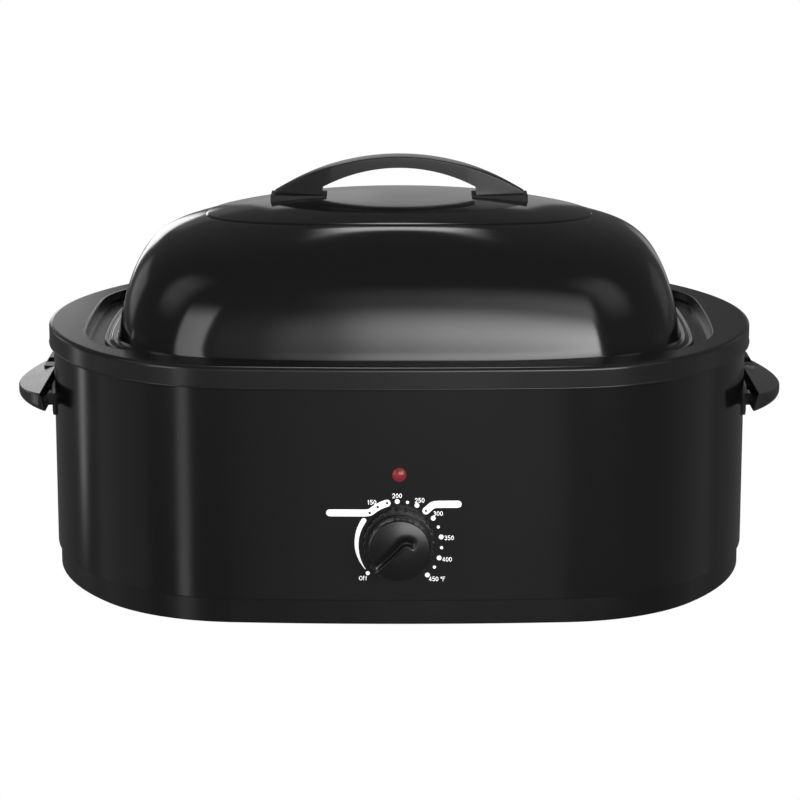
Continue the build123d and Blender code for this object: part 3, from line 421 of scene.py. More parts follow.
ug = np.interp(sg, ss, uu)
SIG = 6.0
U_s = smooth(ug, SIG, False)
ZX_s = smooth(pchip(LU, LZX, ug), SIG, True)
ZY_s = smooth(pchip(LU, LZY, ug), SIG, True)
HY_s = smooth(pchip(LHU, LHY, ug), SIG, False)
NN_s = smooth(pchip(LNU, LNN, ug), SIG * 2, True)
CREASE_U = 146.5
step = np.clip((U_s - CREASE_U) / 1.5, 0, 1)
step = step * step * (3 - 2 * step)
sink = 0.85 * step * np.exp(-np.clip(U_s - CREASE_U - 1.5, 0, None) / 10.0)
ZX_s = ZX_s - sink
ZY_s = ZY_s - sink


def lid_row(s, theta, inset=0.0):
    u = np.interp(s, sg, U_s) - inset
    hy = np.interp(s, sg, HY_s) - inset
    n = float(np.interp(s, sg, NN_s))
    zx, zy = np.interp(s, sg, ZX_s), np.interp(s, sg, ZY_s)
    # the foot of the dome flares a little towards the flange
    u += 0.125 * max(0.0, 190.5 - float(zx))
    hy += 0.125 * max(0.0, 190.5 - float(zy))
    u, hy = max(u, 1e-3), max(hy, 1e-3)
    ct, st = np.cos(theta), np.sin(theta)
    r = (np.abs(ct / u) ** n + np.abs(st / hy) ** n) ** (-1.0 / n)
    x, y = r * ct, r * st
    w = np.abs(x / u) ** n
    return np.column_stack([x, y, zx * w + zy * (1 - w)])


NT = 384
# denser round the tight corners
tt = np.linspace(0, 2 * math.pi, NT, endpoint=False)
theta = tt - 0.10 * np.sin(4 * tt) * 0.5
s_crease = float(np.interp(CREASE_U, U_s, sg))
rows_s = list(np.arange(3.0, s_crease - 3.0, 3.5)) + list(np.arange(s_crease - 2.4, s_crease + 4.2, 0.4)) + \
    list(np.arange(s_crease + 5.0, sg[-1] - 0.5, 2.6)) + [sg[-1]]
out_rows = [lid_row(s, theta) for s in rows_s]
rimr = polar_radius(PR, -13.6)
basep = out_rows[-1]
ang = np.arctan2(basep[:, 1], basep[:, 0])
rb = np.hypot(basep[:, 0], basep[:, 1])
rf_edge = rimr(ang)


def flange(frac, z, extra=0.0):
    r = rb + (rf_edge - rb) * frac + extra
    return np.column_stack([r * np.cos(ang), r * np.sin(ang), np.full(len(r), float(z))])


# from the foot of the dome outwards: a raised ridge, a groove, the flat edge and its roll
fl = [flange(0.03, 184.48), flange(0.08, 184.5), flange(0.14, 184.68), flange(0.21, 184.98), flange(0.28, 185.17),
      flange(0.35, 185.22), flange(0.42, 185.12), flange(0.48, 184.85), flange(0.53, 184.42), flange(0.57, 184.0),
      flange(0.61, 183.75), flange(0.66, 183.68), flange(0.70, 183.82), flange(0.74, 184.15), flange(0.79, 184.45),
      flange(0.86, 184.62), flange(0.92, 184.60), flange(0.97, 184.42), flange(1.0, 184.08), flange(1.01, 183.7),
      flange(1.0, 183.3), flange(0.9, 183.25), flange(0.0, 183.25, -0.6)]
in_s = [sg[-1] - 1.0] + list(np.arange(sg[-1] - 8, 6, -7.0))
in_rows = []
for s in in_s:
    r = lid_row(s, theta, 1.1)
    r[:, 2] -= 1.1 * (1.0 - max(0.0, min(1.0, (s - 150) / 60.0)))
    in_rows.append(r)
rings = out_rows + fl + in_rows
v, f = rings_to_mesh(rings, close_profile=False)
nv = len(v)
top = np.array([[0, 0, ZX_s[0]], [0, 0, ZX_s[0] - 1.1]])
v = np.concatenate([v, top])
for j in range(NT):
    f.append((nv, j, (j + 1) % NT))
    k0 = (len(rings) - 1) * NT
    f.append((nv + 1, k0 + (j + 1) % NT, k0 + j))
mesh_object("lid_shell_skin", to_row(v), f, M["lid"], "lid", ("lid_shell",), sharp=60, weighted=False)


# ------------------------------------------------------------------ lid handle
def arc_through(x1, z1, z0):
    """Height at x of the arc through (+-x1, z1) and (0, z0)."""
    sag = z0 - z1
    R = (x1 * x1 + sag * sag) / (2 * sag)
    return lambda x: z0 - R + np.sqrt(np.maximum(R * R - x * x, 0.0))


H_OUT = arc_through(95.0, 288.2, 315.4)
H_IN = arc_through(58.6, 291.6, 306.4)
FOOT = 285.4


def rounded_section(y_half, z0, z1, r_top_f, r_top_b, r_bot, crown):
    """Section of the handle, front (-y) to back, counter-clockwise from the bottom front."""
    pts = []

    def corner(cy, cz, r, a0, a1, segs=6):
        for i in range(segs + 1):
            a = a0 + (a1 - a0) * i / segs
            pts.append((cy + r * math.cos(a), cz + r * math.sin(a)))
    h = z1 - z0
    rt = min(r_top_f, h * 0.42)
    rk = min(r_top_b, h * 0.42)
    rb_ = min(r_bot, h * 0.3)
    corner(-y_half + rb_, z0 + rb_, rb_, -math.pi / 2, -math.pi)
    pts.append((-y_half, z0 + h * 0.5))
    corner(-y_half + rt, z1 - rt - crown, rt, math.pi, math.pi / 2)
    for i in range(1, 8):
        t = i / 8
        y = (-y_half + rt) * (1 - t) + (y_half - rk) * t
        pts.append((y, z1 - crown * (2 * t - 1) ** 2))
    corner(y_half - rk, z1 - rk - crown, rk, math.pi / 2, 0)
    pts.append((y_half, z0 + h * 0.5))
    corner(y_half - rb_, z0 + rb_, rb_, 0, -math.pi / 2)
    return pts


xs = list(np.linspace(-95.0, -58.6, 22)) + list(np.linspace(-58.55, 58.55, 71)) + list(np.linspace(58.6, 95.0, 22))
rings = []
for x in xs:
    zt = float(H_OUT(x))
    zb = FOOT if abs(x) >= 58.59 else float(H_IN(x))
    # the grip narrows a little towards its feet, and its front face curves back there
    t = max(0.0, (abs(x) - 52.0) / 43.0)
    yh = 12.0 - 8.5 * t ** 1.5
    sec = rounded_section(yh, zb, zt, 0.9, 2.6, 0.35, 0.55)
    rings.append(np.array([(x, y, z) for (y, z) in sec]))
n = len(rings[0])
v = np.concatenate(rings)
f = []
for i in range(len(rings) - 1):
    for j in range(n):
        f.append((i * n + j, (i + 1) * n + j, (i + 1) * n + (j + 1) % n, i * n + (j + 1) % n))
f.append(tuple(range(n)))
f.append(tuple(reversed(range((len(rings) - 1) * n, len(rings) * n))))
mesh_object("lid_handle_skin", to_row(v), f, M["handle"], "lid", ("lid_handle",), sharp=38)


# ------------------------------------------------------------------ control knob
KZ = 62.5
KB = -201.5
KA = 225.0 * DEG    # the pointer stands at Off


def knob_height(r, a):
    """Height of the knob's face above its back, in millimetres, at radius r and angle a seen from the front."""
    p = r * np.cos(a - KA)          # towards the pointer
    q = -r * np.sin(a - KA)         # across it, positive on the upper left side
    dome = 21.0 + 3.1 * (1 - (r / 22.3) ** 2)
    # the finger bar is what lies to the lower right of the ridge q = 0, rounded off at its far end
    rho = 3.4
    d = np.hypot(np.maximum(-7.0 + rho - p, 0), np.maximum(q + rho, 0)) - rho
    d = np.maximum(d, 0)
    dip = (1 - np.exp(-(d / 0.75) ** 2)) * np.exp(-(np.maximum(d - 1.6, 0) / 3.3) ** 2)
    side = 1 / (1 + np.exp(-(q + 3.6) / 0.9))
    nose = 1 / (1 + np.exp((p - 19.0) / 1.2))
    ridge = 0.35 * np.exp(-((q + 0.35) / 0.7) ** 2) * (1 / (1 + np.exp(-(p + 6.0) / 0.8)))
    return dome - 4.3 * dip * side * nose + ridge * 1.2


NA = 360
rr = np.concatenate([np.linspace(0.3, 21.3, 82)])
ang_k = np.linspace(0, 2 * math.pi, NA, endpoint=False)
off_nose = np.angle(np.exp(1j * (ang_k - KA)))
# the pointer's nose reaches out beyond the round cap, with a flat end
reach = np.minimum(25.0 / np.maximum(np.cos(off_nose), 0.3), 26.4)
half_w = 6.0
cap_r = np.where(np.abs(off_nose) < 0.9, np.clip(half_w / np.maximum(np.abs(np.sin(off_nose)), 1e-3), 22.3, 30.0), 22.3)
cap_r = np.minimum(cap_r, np.maximum(reach - 0.4, 22.3))
kk = np.exp(-0.5 * (np.arange(-8, 9) / 2.2) ** 2)
kk /= kk.sum()
cap_r = np.convolve(np.concatenate([cap_r[-8:], cap_r, cap_r[:8]]), kk, mode="valid")
rows = []
for r in rr:
    rad = r * cap_r / 22.3
    h = knob_height(np.minimum(rad, 22.3), ang_k)
    rows.append(np.column_stack([rad * np.cos(ang_k), h, rad * np.sin(ang_k)]))
edge_h = rows[-1][:, 1]
for k in range(1, 6):
    t = k / 5 * math.pi / 2
    rad = cap_r - 1.0 + 1.0 * math.sin(t)
    h = edge_h - 0.2 - 1.0 * (1 - math.cos(t))
    rows.append(np.column_stack([rad * np.cos(ang_k), h, rad * np.sin(ang_k)]))
for frac, dr in ((0.25, 0.0), (0.6, 0.0), (0.98, 0.0)):
    h = (edge_h - 1.2) * (1 - frac) + 6.05 * frac
    rows.append(np.column_stack([(cap_r + dr) * np.cos(ang_k), h, (cap_r + dr) * np.sin(ang_k)]))
# scalloped skirt
notch = np.zeros(NA)
for i in range(24):
    da = np.angle(np.exp(1j * (ang_k - (i + 0.5) * 2 * math.pi / 24)))
    notch += 0.85 * np.exp(-(da / 0.05) ** 4)


def skirt_row(rad, h, amount=1.0):
    rad = rad - notch * amount
    return np.column_stack([rad * np.cos(ang_k), np.full(NA, h), rad * np.sin(ang_k)])


base_r = np.maximum(cap_r + 0.15, 22.5)
rows.append(np.column_stack([base_r * np.cos(ang_k), np.full(NA, 6.0), base_r * np.sin(ang_k)]))
outer_r = np.maximum(base_r + 0.1, 23.4 - notch * 0.2)
rows.append(np.column_stack([outer_r * np.cos(ang_k), np.full(NA, 6.0), outer_r * np.sin(ang_k)]))
for k in range(0, 6):
    t = k / 5 * math.pi / 2
    rows.append(skirt_row(24.6 + 0.9 * math.sin(t), 5.1 + 0.9 * math.cos(t), 0.9))
rows.append(skirt_row(25.5, 0.3, 0.9))
rows.append(skirt_row(25.2, 0.0, 0.9))
rows.append(skirt_row(21.0, 0.0, 0.0))
v, f = rings_to_mesh([np.column_stack([r[:, 0], KB - r[:, 1], KZ + r[:, 2]]) for r in rows], close_profile=False)
nv = len(v)
v = np.concatenate([v, [[0, KB - float(knob_height(np.array([0.0]), np.array([0.0]))[0]), KZ], [0, KB, KZ]]])
for j in range(NA):
    f.append((nv, (j + 1) % NA, j))
    k0 = (len(rows) - 1) * NA
    f.append((nv + 1, k0 + j, k0 + (j + 1) % NA))
mesh_object("control_knob_skin", to_row(v), f, M["knob"], "knob", ("control_knob",), sharp=50)

# ------------------------------------------------------------------ indicator lens
LZ = 112.6
rows = []
nl = 64
al = np.linspace(0, 2 * math.pi, nl, endpoint=False)
for rad, h in ((5.15, 0.1), (5.15, 0.9), (5.05, 1.15), (4.8, 1.45), (4.3, 1.85), (3.6, 2.3), (2.8, 2.68), (1.9, 2.95),
               (1.0, 3.1)):
    rows.append(np.column_stack([rad * np.cos(al), np.full(nl, -200.9 - h), LZ + rad * np.sin(al)]))
v, f = rings_to_mesh(rows, close_profile=False)
nv = len(v)
v = np.concatenate([v, [[0, -200.9 - 3.15, LZ], [0, -200.9 - 0.1, LZ]]])
for j in range(nl):
    k0 = (len(rows) - 1) * nl
    f.append((nv, k0 + j, k0 + (j + 1) % nl))
    f.append((nv + 1, (j + 1) % nl, j))
mesh_object("indicator_lens_skin", to_row(v), f, M["lens"], "root", ("indicator_lens",), sharp=50)


# ------------------------------------------------------------------ dial print
FRONT_R = BODY[2] + 2.2
FRONT_C = -(BODY[1] - BODY[2])      # centre of the front arc lies behind


def front_y(x, out):
    """Y of the housing's front face at x, raised by out."""
    R = FRONT_R + out
    return -(BODY[1] - BODY[2]) - math.sqrt(R * R - x * x)


PRINT_T = 0.05


def print_solid(name, outline, layer=0, mat="print"):
    """A flat closed figure given as (x, z) points, laid on the housing as a film."""
    n = len(outline)
    verts = []
    lift = 0.03 + layer * 0.04
    for out in (lift, lift + PRINT_T):
        for (x, z) in outline:
            verts.append((x, front_y(x, out), z))
    faces = [tuple(range(n)), tuple(reversed(range(n, 2 * n)))]
    for j in range(n):
        j2 = (j + 1) % n
        faces.append((j, j2, n + j2, n + j))
    return mesh_object(name, to_row(verts), faces, M[mat], "root", smooth=False)


def disc(cx, cz, r, n=28):
    return [(cx + r * math.cos(a), cz + r * math.sin(a)) for a in np.linspace(0, 2 * math.pi, n, endpoint=False)]


def stroke(path, widths, cap=8):
    """Outline of a path of given widths with round ends."""
    p = np.array(path, float)
    w = np.array(widths, float) / 2
    d = np.gradient(p, axis=0)
    d /= np.linalg.norm(d, axis=1)[:, None]
    nrm = np.stack([-d[:, 1], d[:, 0]], 1)
    left = p + nrm * w[:, None]
    right = p - nrm * w[:, None]
    pts = [tuple(q) for q in left]
    a = math.atan2(nrm[-1][1], nrm[-1][0])
    for k in range(1, cap):
        t = a - math.pi * k / cap
        pts.append((p[-1][0] + w[-1] * math.cos(t), p[-1][1] + w[-1] * math.sin(t)))
    pts += [tuple(q) for q in right[::-1]]
    a = math.atan2(-nrm[0][1], -nrm[0][0])
    for k in range(1, cap):
        t = a - math.pi * k / cap
        pts.append((p[0][0] + w[0] * math.cos(t), p[0][1] + w[0] * math.sin(t)))
    return pts


DIAL_X, DIAL_Z = -0.1, KZ - 0.32
MR = 30.5


def polar(deg, r=MR):
    return DIAL_X + r * math.cos(deg * DEG), DIAL_Z - 0.25 + 1.02 * r * math.sin(deg * DEG)


big = {"200": 92.4, "250": 65.3, "300": 37.0, "350": 9.1, "400": -19.9, "450": -48.3}
for k, a in big.items():
    print_solid("dial_dot_" + k, disc(*polar(a), 1.75))
for i, a in enumerate((78.6, 23.1, -5.6, -34.0)):
    print_solid("dial_tick_%d" % i, disc(*polar(a), 1.15))
print_solid("dial_dot_off", disc(*polar(223.7, 31.0), 1.5))
# tapered sweep from Off up to the warming band
ta = np.linspace(217.5, 146.5, 40)
pts = [polar(a, r_) for a, r_ in zip(ta, np.interp(np.arange(40), [0, 18, 39], [30.4, 30.4, 30.2]))]
print_solid("dial_sweep", stroke(pts, np.interp(np.arange(40), [0, 16, 30, 39], [0.35, 2.6, 3.3, 3.7])))
# warming band: along the dial, then level to the left
band = [polar(a) for a in np.linspace(106.3, 131.0, 14)]
bx, bz = polar(133.4)
band += [(bx - 1.0, bz + 0.15), (bx - 3.5, bz), (bx - 8.0, bz)] + [(x, bz) for x in np.linspace(bx - 12, -49.6, 12)]
print_solid("dial_band_warm", stroke(band, [5.1] * len(band)))
for i, a in enumerate((133.4, 120.0, 106.3)):
    print_solid("dial_band_dot_%d" % i, disc(*polar(a), 0.95, 18), 1, "print_dark")
# thawing band: up from its dot, then level to the right
dx, dz = polar(51.0)
band = [(dx, dz), (dx + 1.7, dz + 1.6), (dx + 3.3, dz + 3.1), (dx + 4.8, dz + 4.2), (dx + 6.8, dz + 4.7)]
band += [(x, dz + 4.8) for x in np.linspace(dx + 9.5, 41.9, 8)]
print_solid("dial_band_thaw", stroke(band, [5.2] * len(band)))
print_solid("dial_band_thaw_dot", disc(dx, dz, 0.9, 18), 1, "print_dark")

# numerals as strokes, about 3.4 mm tall
GLYPH = {
    "0": [[(0.5, 0.0), (0.12, 0.2), (0.0, 0.5), (0.12, 0.8), (0.5, 1.0), (0.88, 0.8), (1.0, 0.5), (0.88, 0.2),
           (0.5, 0.0)]],
    "1": [[(0.15, 0.74), (0.55, 1.0), (0.55, 0.0)]],
    "2": [[(0.02, 0.74), (0.22, 0.96), (0.6, 1.0), (0.92, 0.82), (0.9, 0.56), (0.45, 0.26), (0.02, 0.0), (1.0, 0.0)]],
    "3": [[(0.04, 0.86), (0.4, 1.0), (0.85, 0.88), (0.88, 0.64), (0.42, 0.53), (0.92, 0.42), (0.95, 0.16), (0.5, 0.0),
           (0.02, 0.12)]],
    "4": [[(0.72, 0.0), (0.72, 1.0), (0.0, 0.3), (1.0, 0.3)]],
    "5": [[(0.92, 1.0), (0.18, 1.0), (0.1, 0.54), (0.5, 0.64), (0.93, 0.48), (0.93, 0.16), (0.5, 0.0), (0.02, 0.12)]],
    "F": [[(0.0, 0.0), (0.0, 1.0), (0.9, 1.0)], [(0.0, 0.53), (0.75, 0.53)]],
    "O": [[(0.5, 0.0), (0.1, 0.2), (0.0, 0.5), (0.1, 0.8), (0.5, 1.0), (0.9, 0.8), (1.0, 0.5), (0.9, 0.2),
           (0.5, 0.0)]],
    "f": [[(0.2, 0.0), (0.2, 0.82), (0.34, 1.0), (0.62, 1.0)], [(0.0, 0.66), (0.52, 0.66)]],
    "d": [[(0.5, 0.62), (0.2, 0.78), (0.5, 0.98), (0.8, 0.78), (0.5, 0.62)]],
}
WIDTH = {"1": 0.36, "f": 0.32, "O": 0.74, "d": 0.34, "F": 0.48}


def dense(path, step=0.25):
    out = []
    for (a, b) in zip(path[:-1], path[1:]):
        d = math.hypot(b[0] - a[0], b[1] - a[1])
        k = max(1, int(d / step))
        for i in range(k):
            t = i / k
            out.append((a[0] + (b[0] - a[0]) * t, a[1] + (b[1] - a[1]) * t))
    out.append(path[-1])
    return out


def lettering(name, text, x, z, h=3.05, w=2.0, gap=0.72, line=0.44):
    """A row of stroke numerals with its lower left corner at (x, z)."""
    verts, faces = [], []
    cx = x
    for ch in text:
        if ch == " ":
            cx += w * 0.5
            continue
        cw = WIDTH.get(ch, 0.55) * h
        for path in GLYPH[ch]:
            p = [(cx + a * cw, z + b * h) for a, b in path]
            for (a, b) in zip(p[:-1], p[1:]):
                dx_, dz_ = b[0] - a[0], b[1] - a[1]
                L = math.hypot(dx_, dz_)
                nx, nz = -dz_ / L * line / 2, dx_ / L * line / 2
                quad = []
                # each stroke is a short bar with eight-sided ends
                ta = math.atan2(dz_, dx_)
                for k in range(5):
                    t = ta - math.pi / 2 + math.pi * k / 4
                    quad.append((b[0] + line / 2 * math.cos(t), b[1] + line / 2 * math.sin(t)))
                for k in range(5):
                    t = ta + math.pi / 2 + math.pi * k / 4
                    quad.append((a[0] + line / 2 * math.cos(t), a[1] + line / 2 * math.sin(t)))
                n0 = len(verts)
                m = len(quad)
                for out in (0.03, 0.03 + PRINT_T):
                    for (qx, qz) in quad:
                        verts.append((qx, front_y(qx, out), qz))
                faces.append(tuple(n0 + i for i in range(m)))
                faces.append(tuple(n0 + m + i for i in reversed(range(m))))
                for i in range(m):
                    i2 = (i + 1) % m
                    faces.append((n0 + i, n0 + i2, n0 + m + i2, n0 + m + i))
        cx += cw + gap
    return mesh_object(name, to_row(verts), faces, M["print"], "root", smooth=False)


def unproject_front(px, py):
    """Point (x, z) of the housing's front that shows at pixel (px, py)."""
    dx_, dy_ = (px - 399.27) / 2896.8, (400 - py) / 2896.8
    c_, s_ = math.cos(0.2148), math.sin(0.2148)
    d = (dx_, c_ + dy_ * s_, -s_ + dy_ * c_)
    t = (2202.0 - 200.9) / d[1]
    return d[0] * t, 603.6 + d[2] * t


for text, px, py in (("150", 371.9, 502.2), ("200", 397.2, 495.6), ("250", 419.8, 500.2), ("300", 438.2, 513.4),
                     ("350", 449.2, 537.8), ("400", 447.2, 559.3)):
    x, z = unproject_front(px, py)
    total = sum(WIDTH.get(ch, 0.55) * 3.05 for ch in text) + 0.72 * (len(text) - 1)
    lettering("dial_num_" + text, text, x - total / 2, z - 1.65)
x, z = unproject_front(437.8, 578.8)
lettering("dial_num_450", "450 dF", x - 6.2, z - 1.65)
x, z = unproject_front(363.6, 578)
lettering("dial_off", "Off", x - 3.1, z - 1.65)

# ------------------------------------------------------------------ finishes for the CAD nodes that stay in view
FINISH = {
    "housing_wall": "wall", "rear_panel": "wall", "base_skirt": "base", "bottom_plate": "galv",
    "bottom_heat_shield": "galv", "control_heat_shield": "galv", "element_clips": "galv", "lamp_retainer": "galv",
    "knob_spring_clip": "galv", "foot_front_left": "rubber", "foot_front_right": "rubber",
    "foot_rear_left": "rubber", "foot_rear_right": "rubber", "base_screws": "zinc", "rim_screws": "zinc",
    "liner_stud": "zinc", "liner_nut": "zinc", "liner_washer": "zinc", "side_handle_screws": "zinc",
    "thermostat_screws": "zinc", "lid_handle_screws": "zinc", "lid_handle_washers": "zinc", "inner_liner": "well",
    "side_insulation": "wool", "bottom_insulation": "wool", "heating_element_lower": "sheath",
    "heating_element_upper": "sheath", "element_terminals": "terminal", "element_links": "terminal",
    "thermostat_body": "steatite", "terminal_block": "steatite", "thermostat_probe": "brass",
    "thermostat_shaft": "brass", "control_knob": "knob", "indicator_lens": "lens", "indicator_lamp": "lamp",
    "cord_gland": "nylon", "wire_live": "wire", "wire_neutral": "wire", "wire_element": "wire",
    "side_handle_left": "handle", "side_handle_right": "handle", "roasting_pan": "pan", "rack_grid": "chrome",
    "rack_handles": "chrome", "lid_shell": "lid", "lid_handle": "handle", "lid_handle_gaskets": "gasket",
    "rim_ring": "rim",
}
for name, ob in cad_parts.items():
    ob.data.materials.clear()
    ob.data.materials.append(M[FINISH.get(name, "galv")])

# ------------------------------------------------------------------ stage
bpy.ops.mesh.primitive_plane_add(size=30.0, location=(0, 0, 0))
floor = bpy.context.object
floor.name = "floor"
fm = bpy.data.materials.new("floor_pale")
nt = nodes_of(fm)
out = nt.nodes.new("ShaderNodeOutputMaterial")
em = nt.nodes.new("ShaderNodeEmission")
em.inputs[0].default_value = (1.0, 1.0, 1.0, 1.0)
em.inputs[1].default_value = 1.0
nt.links.new(em.outputs[0], out.inputs[0])
floor.data.materials.append(fm)
floor.visible_glossy = False
floor.visible_diffuse = False
floor.visible_shadow = False
floor.visible_transmission = False

CENTRE = Vector((0.0, 0.011, 0.15))


def panel(name, az, el, width, height, left, right, soft=(0.08, 0.08, 0.08, 0.08), dist=3.0, roll=0.0, bottom=1.0,
          top=1.0, diffuse=True):
    """A soft light: a screen seen from the oven at azimuth az and elevation el, width by height degrees.

    Its brightness runs from left to right as the camera would see it from the oven's place, and fades at its edges.
    soft is the fade at left, right, bottom and top as a share of the screen."""
    a, e = az * DEG, el * DEG
    back = Vector((math.sin(a) * math.cos(e), -math.cos(a) * math.cos(e), math.sin(e)))
    w = 2 * dist * math.tan(width * DEG / 2)
    h = 2 * dist * math.tan(height * DEG / 2)
    me = bpy.data.meshes.new(name)
    me.from_pydata([(-w / 2, -h / 2, 0), (w / 2, -h / 2, 0), (w / 2, h / 2, 0), (-w / 2, h / 2, 0)], [], [(0, 1, 2, 3)])
    uv = me.uv_layers.new(name="UVMap")
    for i, c in enumerate(((0, 0), (1, 0), (1, 1), (0, 1))):
        uv.data[i].uv = c
    ob = bpy.data.objects.new(name, me)
    scene.collection.objects.link(ob)
    # local x runs towards increasing azimuth, local y up, and local z towards the oven
    xax = Vector((math.cos(a), math.sin(a), 0.0))
    zax = -back
    yax = zax.cross(xax)
    if yax.z < 0:
        yax = -yax
        zax = xax.cross(yax)
    from mathutils import Matrix
    m = Matrix((xax, yax, xax.cross(yax))).transposed().to_4x4()
    m.translation = CENTRE + back * dist
    ob.matrix_world = m
    mat = bpy.data.materials.new(name)
    nt = nodes_of(mat)
    out = nt.nodes.new("ShaderNodeOutputMaterial")
    em = nt.nodes.new("ShaderNodeEmission")
    uvn = nt.nodes.new("ShaderNodeUVMap")
    uvn.uv_map = "UVMap"
    sep = nt.nodes.new("ShaderNodeSeparateXYZ")
    nt.links.new(uvn.outputs[0], sep.inputs[0])

    def ramp(sock, lo_, hi_, a_, b_):
        r = nt.nodes.new("ShaderNodeMapRange")
        r.interpolation_type = "SMOOTHSTEP"
        r.inputs["From Min"].default_value = lo_
        r.inputs["From Max"].default_value = hi_
        r.inputs["To Min"].default_value = a_
        r.inputs["To Max"].default_value = b_
        nt.links.new(sock, r.inputs["Value"])
        return r.outputs[0]

    def mul(s1, s2):
        n_ = nt.nodes.new("ShaderNodeMath")
        n_.operation = "MULTIPLY"
        nt.links.new(s1, n_.inputs[0])
        nt.links.new(s2, n_.inputs[1])
        return n_.outputs[0]

    def lin(sock, a_, b_):
        r = nt.nodes.new("ShaderNodeMapRange")
        r.inputs["To Min"].default_value = a_
        r.inputs["To Max"].default_value = b_
        nt.links.new(sock, r.inputs["Value"])
        return r.outputs[0]

    x_, y_ = sep.outputs["X"], sep.outputs["Y"]
    s = lin(x_, left, right)
    s = mul(s, lin(y_, bottom, top))
    s = mul(s, ramp(x_, 0.0, max(soft[0], 1e-3), 0.0, 1.0))
    s = mul(s, ramp(x_, 1.0 - max(soft[1], 1e-3), 1.0, 1.0, 0.0))
    s = mul(s, ramp(y_, 0.0, max(soft[2], 1e-3), 0.0, 1.0))
    s = mul(s, ramp(y_, 1.0 - max(soft[3], 1e-3), 1.0, 1.0, 0.0))
    nt.links.new(s, em.inputs[1])
    clear = nt.nodes.new("ShaderNodeBsdfTransparent")
    both = nt.nodes.new("ShaderNodeAddShader")
    nt.links.new(em.outputs[0], both.inputs[0])
    nt.links.new(clear.outputs[0], both.inputs[1])
    nt.links.new(both.outputs[0], out.inputs[0])
    me.materials.append(mat)
    ob.visible_camera = False
    ob.visible_shadow = False
    ob.visible_diffuse = diffuse
    return ob


# the large front softbox, brighter to the right, seen in the lid's lower front
panel("soft_front", 13.0, 10.0, 66.0, 36.0, 0.9, 1.2, soft=(0.25, 0.02, 0.20, 0.60), bottom=0.25, top=2.4)
panel("soft_front_right", 20.5, 10.0, 51.0, 36.0, 2.6, 5.4, soft=(0.167, 0.02, 0.20, 0.60), bottom=0.25, top=2.65, dist=2.95)
# its upper spill, which reaches higher at the right, and the dim gap between the two front lights
panel("soft_front_top", 19.0, 31.0, 60.0, 36.0, 0.35, 2.0, soft=(0.35, 0.08, 0.50, 0.60), dist=2.9)
panel("soft_between", -26.0, 10.0, 36.0, 44.0, 0.14, 0.32, soft=(0.3, 0.3, 0.2, 0.5), dist=2.85)
# a second, smaller one at the front left, and its fainter lower part seen in the housing
panel("soft_left", -53.5, 13.0, 22.0, 40.0, 2.0, 3.1, soft=(0.15, 0.10, 0.12, 0.32))
panel("strip_left", -42.0, -15.0, 10.0, 26.0, 1.3, 1.3, soft=(0.4, 0.3, 0.2, 0.1))
# narrow strip at the side
panel("strip_side", -121.0, -8.0, 7.0, 20.0, 1.5, 1.5, soft=(0.5, 0.5, 0.3, 0.2))
# high at both sides, faint: the shoulders of the lid and the edges of the ring
panel("high_right", 72.0, 38.0, 34.0, 40.0, 0.5, 0.7, soft=(0.4, 0.4, 0.4, 0.4), dist=2.8)
panel("side_left", -136.0, 10.0, 28.0, 22.0, 0.38, 0.38, soft=(0.3, 0.3, 0.2, 0.3), dist=2.75)
panel("side_right", 134.0, 10.0, 28.0, 22.0, 0.12, 0.12, soft=(0.35, 0.35, 0.25, 0.3), dist=2.75)
panel("high_left", -84.0, 36.0, 32.0, 40.0, 0.7, 0.5, soft=(0.4, 0.4, 0.4, 0.4), dist=2.8)
panel("fill_side_left", -88.0, -14.0, 52.0, 40.0, 0.17, 0.13, soft=(0.2, 0.2, 0.2, 0.2))
panel("fill_side_right", 96.0, -14.0, 50.0, 40.0, 0.02, 0.12, soft=(0.2, 0.2, 0.2, 0.2))
# overhead bank behind
panel("bank_back", 180.0, 53.0, 18.0, 12.0, 3.8, 3.8, soft=(0.3, 0.3, 0.3, 0.3))
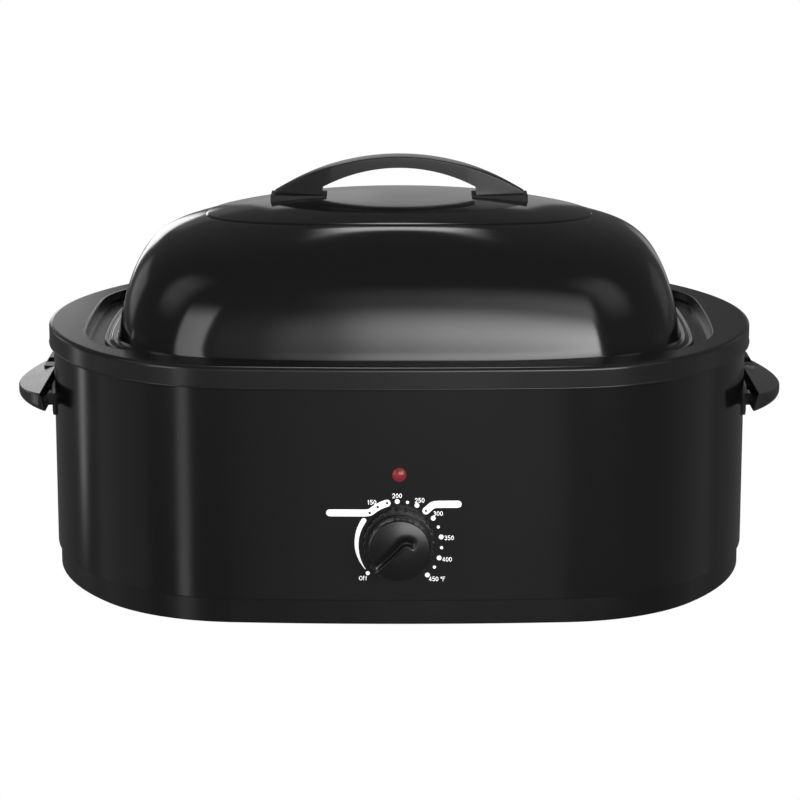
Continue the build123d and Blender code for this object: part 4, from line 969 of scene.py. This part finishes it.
# the lit backdrop straight behind, seen through the lid handle's arch
panel("backdrop", 180.0, 10.5, 17.5, 25.0, 0.52, 0.52, soft=(0.04, 0.04, 0.02, 0.08), bottom=0.45, top=1.1)
# behind at the left and right, low
panel("back_left", -171.0, 13.0, 17.0, 13.0, 0.09, 0.09, soft=(0.1, 0.15, 0.1, 0.3), dist=2.9)
panel("low_left", -164.0, 2.5, 14.0, 15.0, 1.8, 1.8, soft=(0.2, 0.3, 0.15, 0.12))
panel("low_right", 162.0, 0.0, 13.0, 13.0, 0.30, 0.30, soft=(0.3, 0.3, 0.15, 0.3))
# faint fill ahead of the housing
panel("fill_front", -0.5, -15.0, 32.0, 24.0, 0.165, 0.22, soft=(0.36, 0.14, 0.2, 0.15))

world = bpy.data.worlds.new("studio")
scene.world = world
world.use_nodes = True
nt = world.node_tree
nt.nodes.clear()
out = nt.nodes.new("ShaderNodeOutputWorld")
lp = nt.nodes.new("ShaderNodeLightPath")
mixs = nt.nodes.new("ShaderNodeMixShader")
amb = nt.nodes.new("ShaderNodeBackground")
white = nt.nodes.new("ShaderNodeBackground")
white.inputs[0].default_value = (1, 1, 1, 1)
white.inputs[1].default_value = 1.0
amb.inputs[1].default_value = 0.095
amb.inputs[0].default_value = (1, 1, 1, 1)
nt.links.new(lp.outputs["Is Camera Ray"], mixs.inputs[0])
nt.links.new(amb.outputs[0], mixs.inputs[1])
nt.links.new(white.outputs[0], mixs.inputs[2])
nt.links.new(mixs.outputs[0], out.inputs[0])

scene.view_settings.view_transform = "Standard"
scene.view_settings.look = "None"
scene.view_settings.exposure = 0.0
scene.view_settings.gamma = 1.0

# ------------------------------------------------------------------ camera
cam = bpy.data.cameras.new("camera")
cam.sensor_width = 36.0
cam.lens = 130.36
cam.clip_start = 0.05
cam.clip_end = 60.0
camo = bpy.data.objects.new("camera", cam)
scene.collection.objects.link(camo)
camo.location = (0.00057, -2.191, 0.6036)
camo.rotation_euler = (math.pi / 2 - 0.2148, 0.0, 0.0)
scene.camera = camo
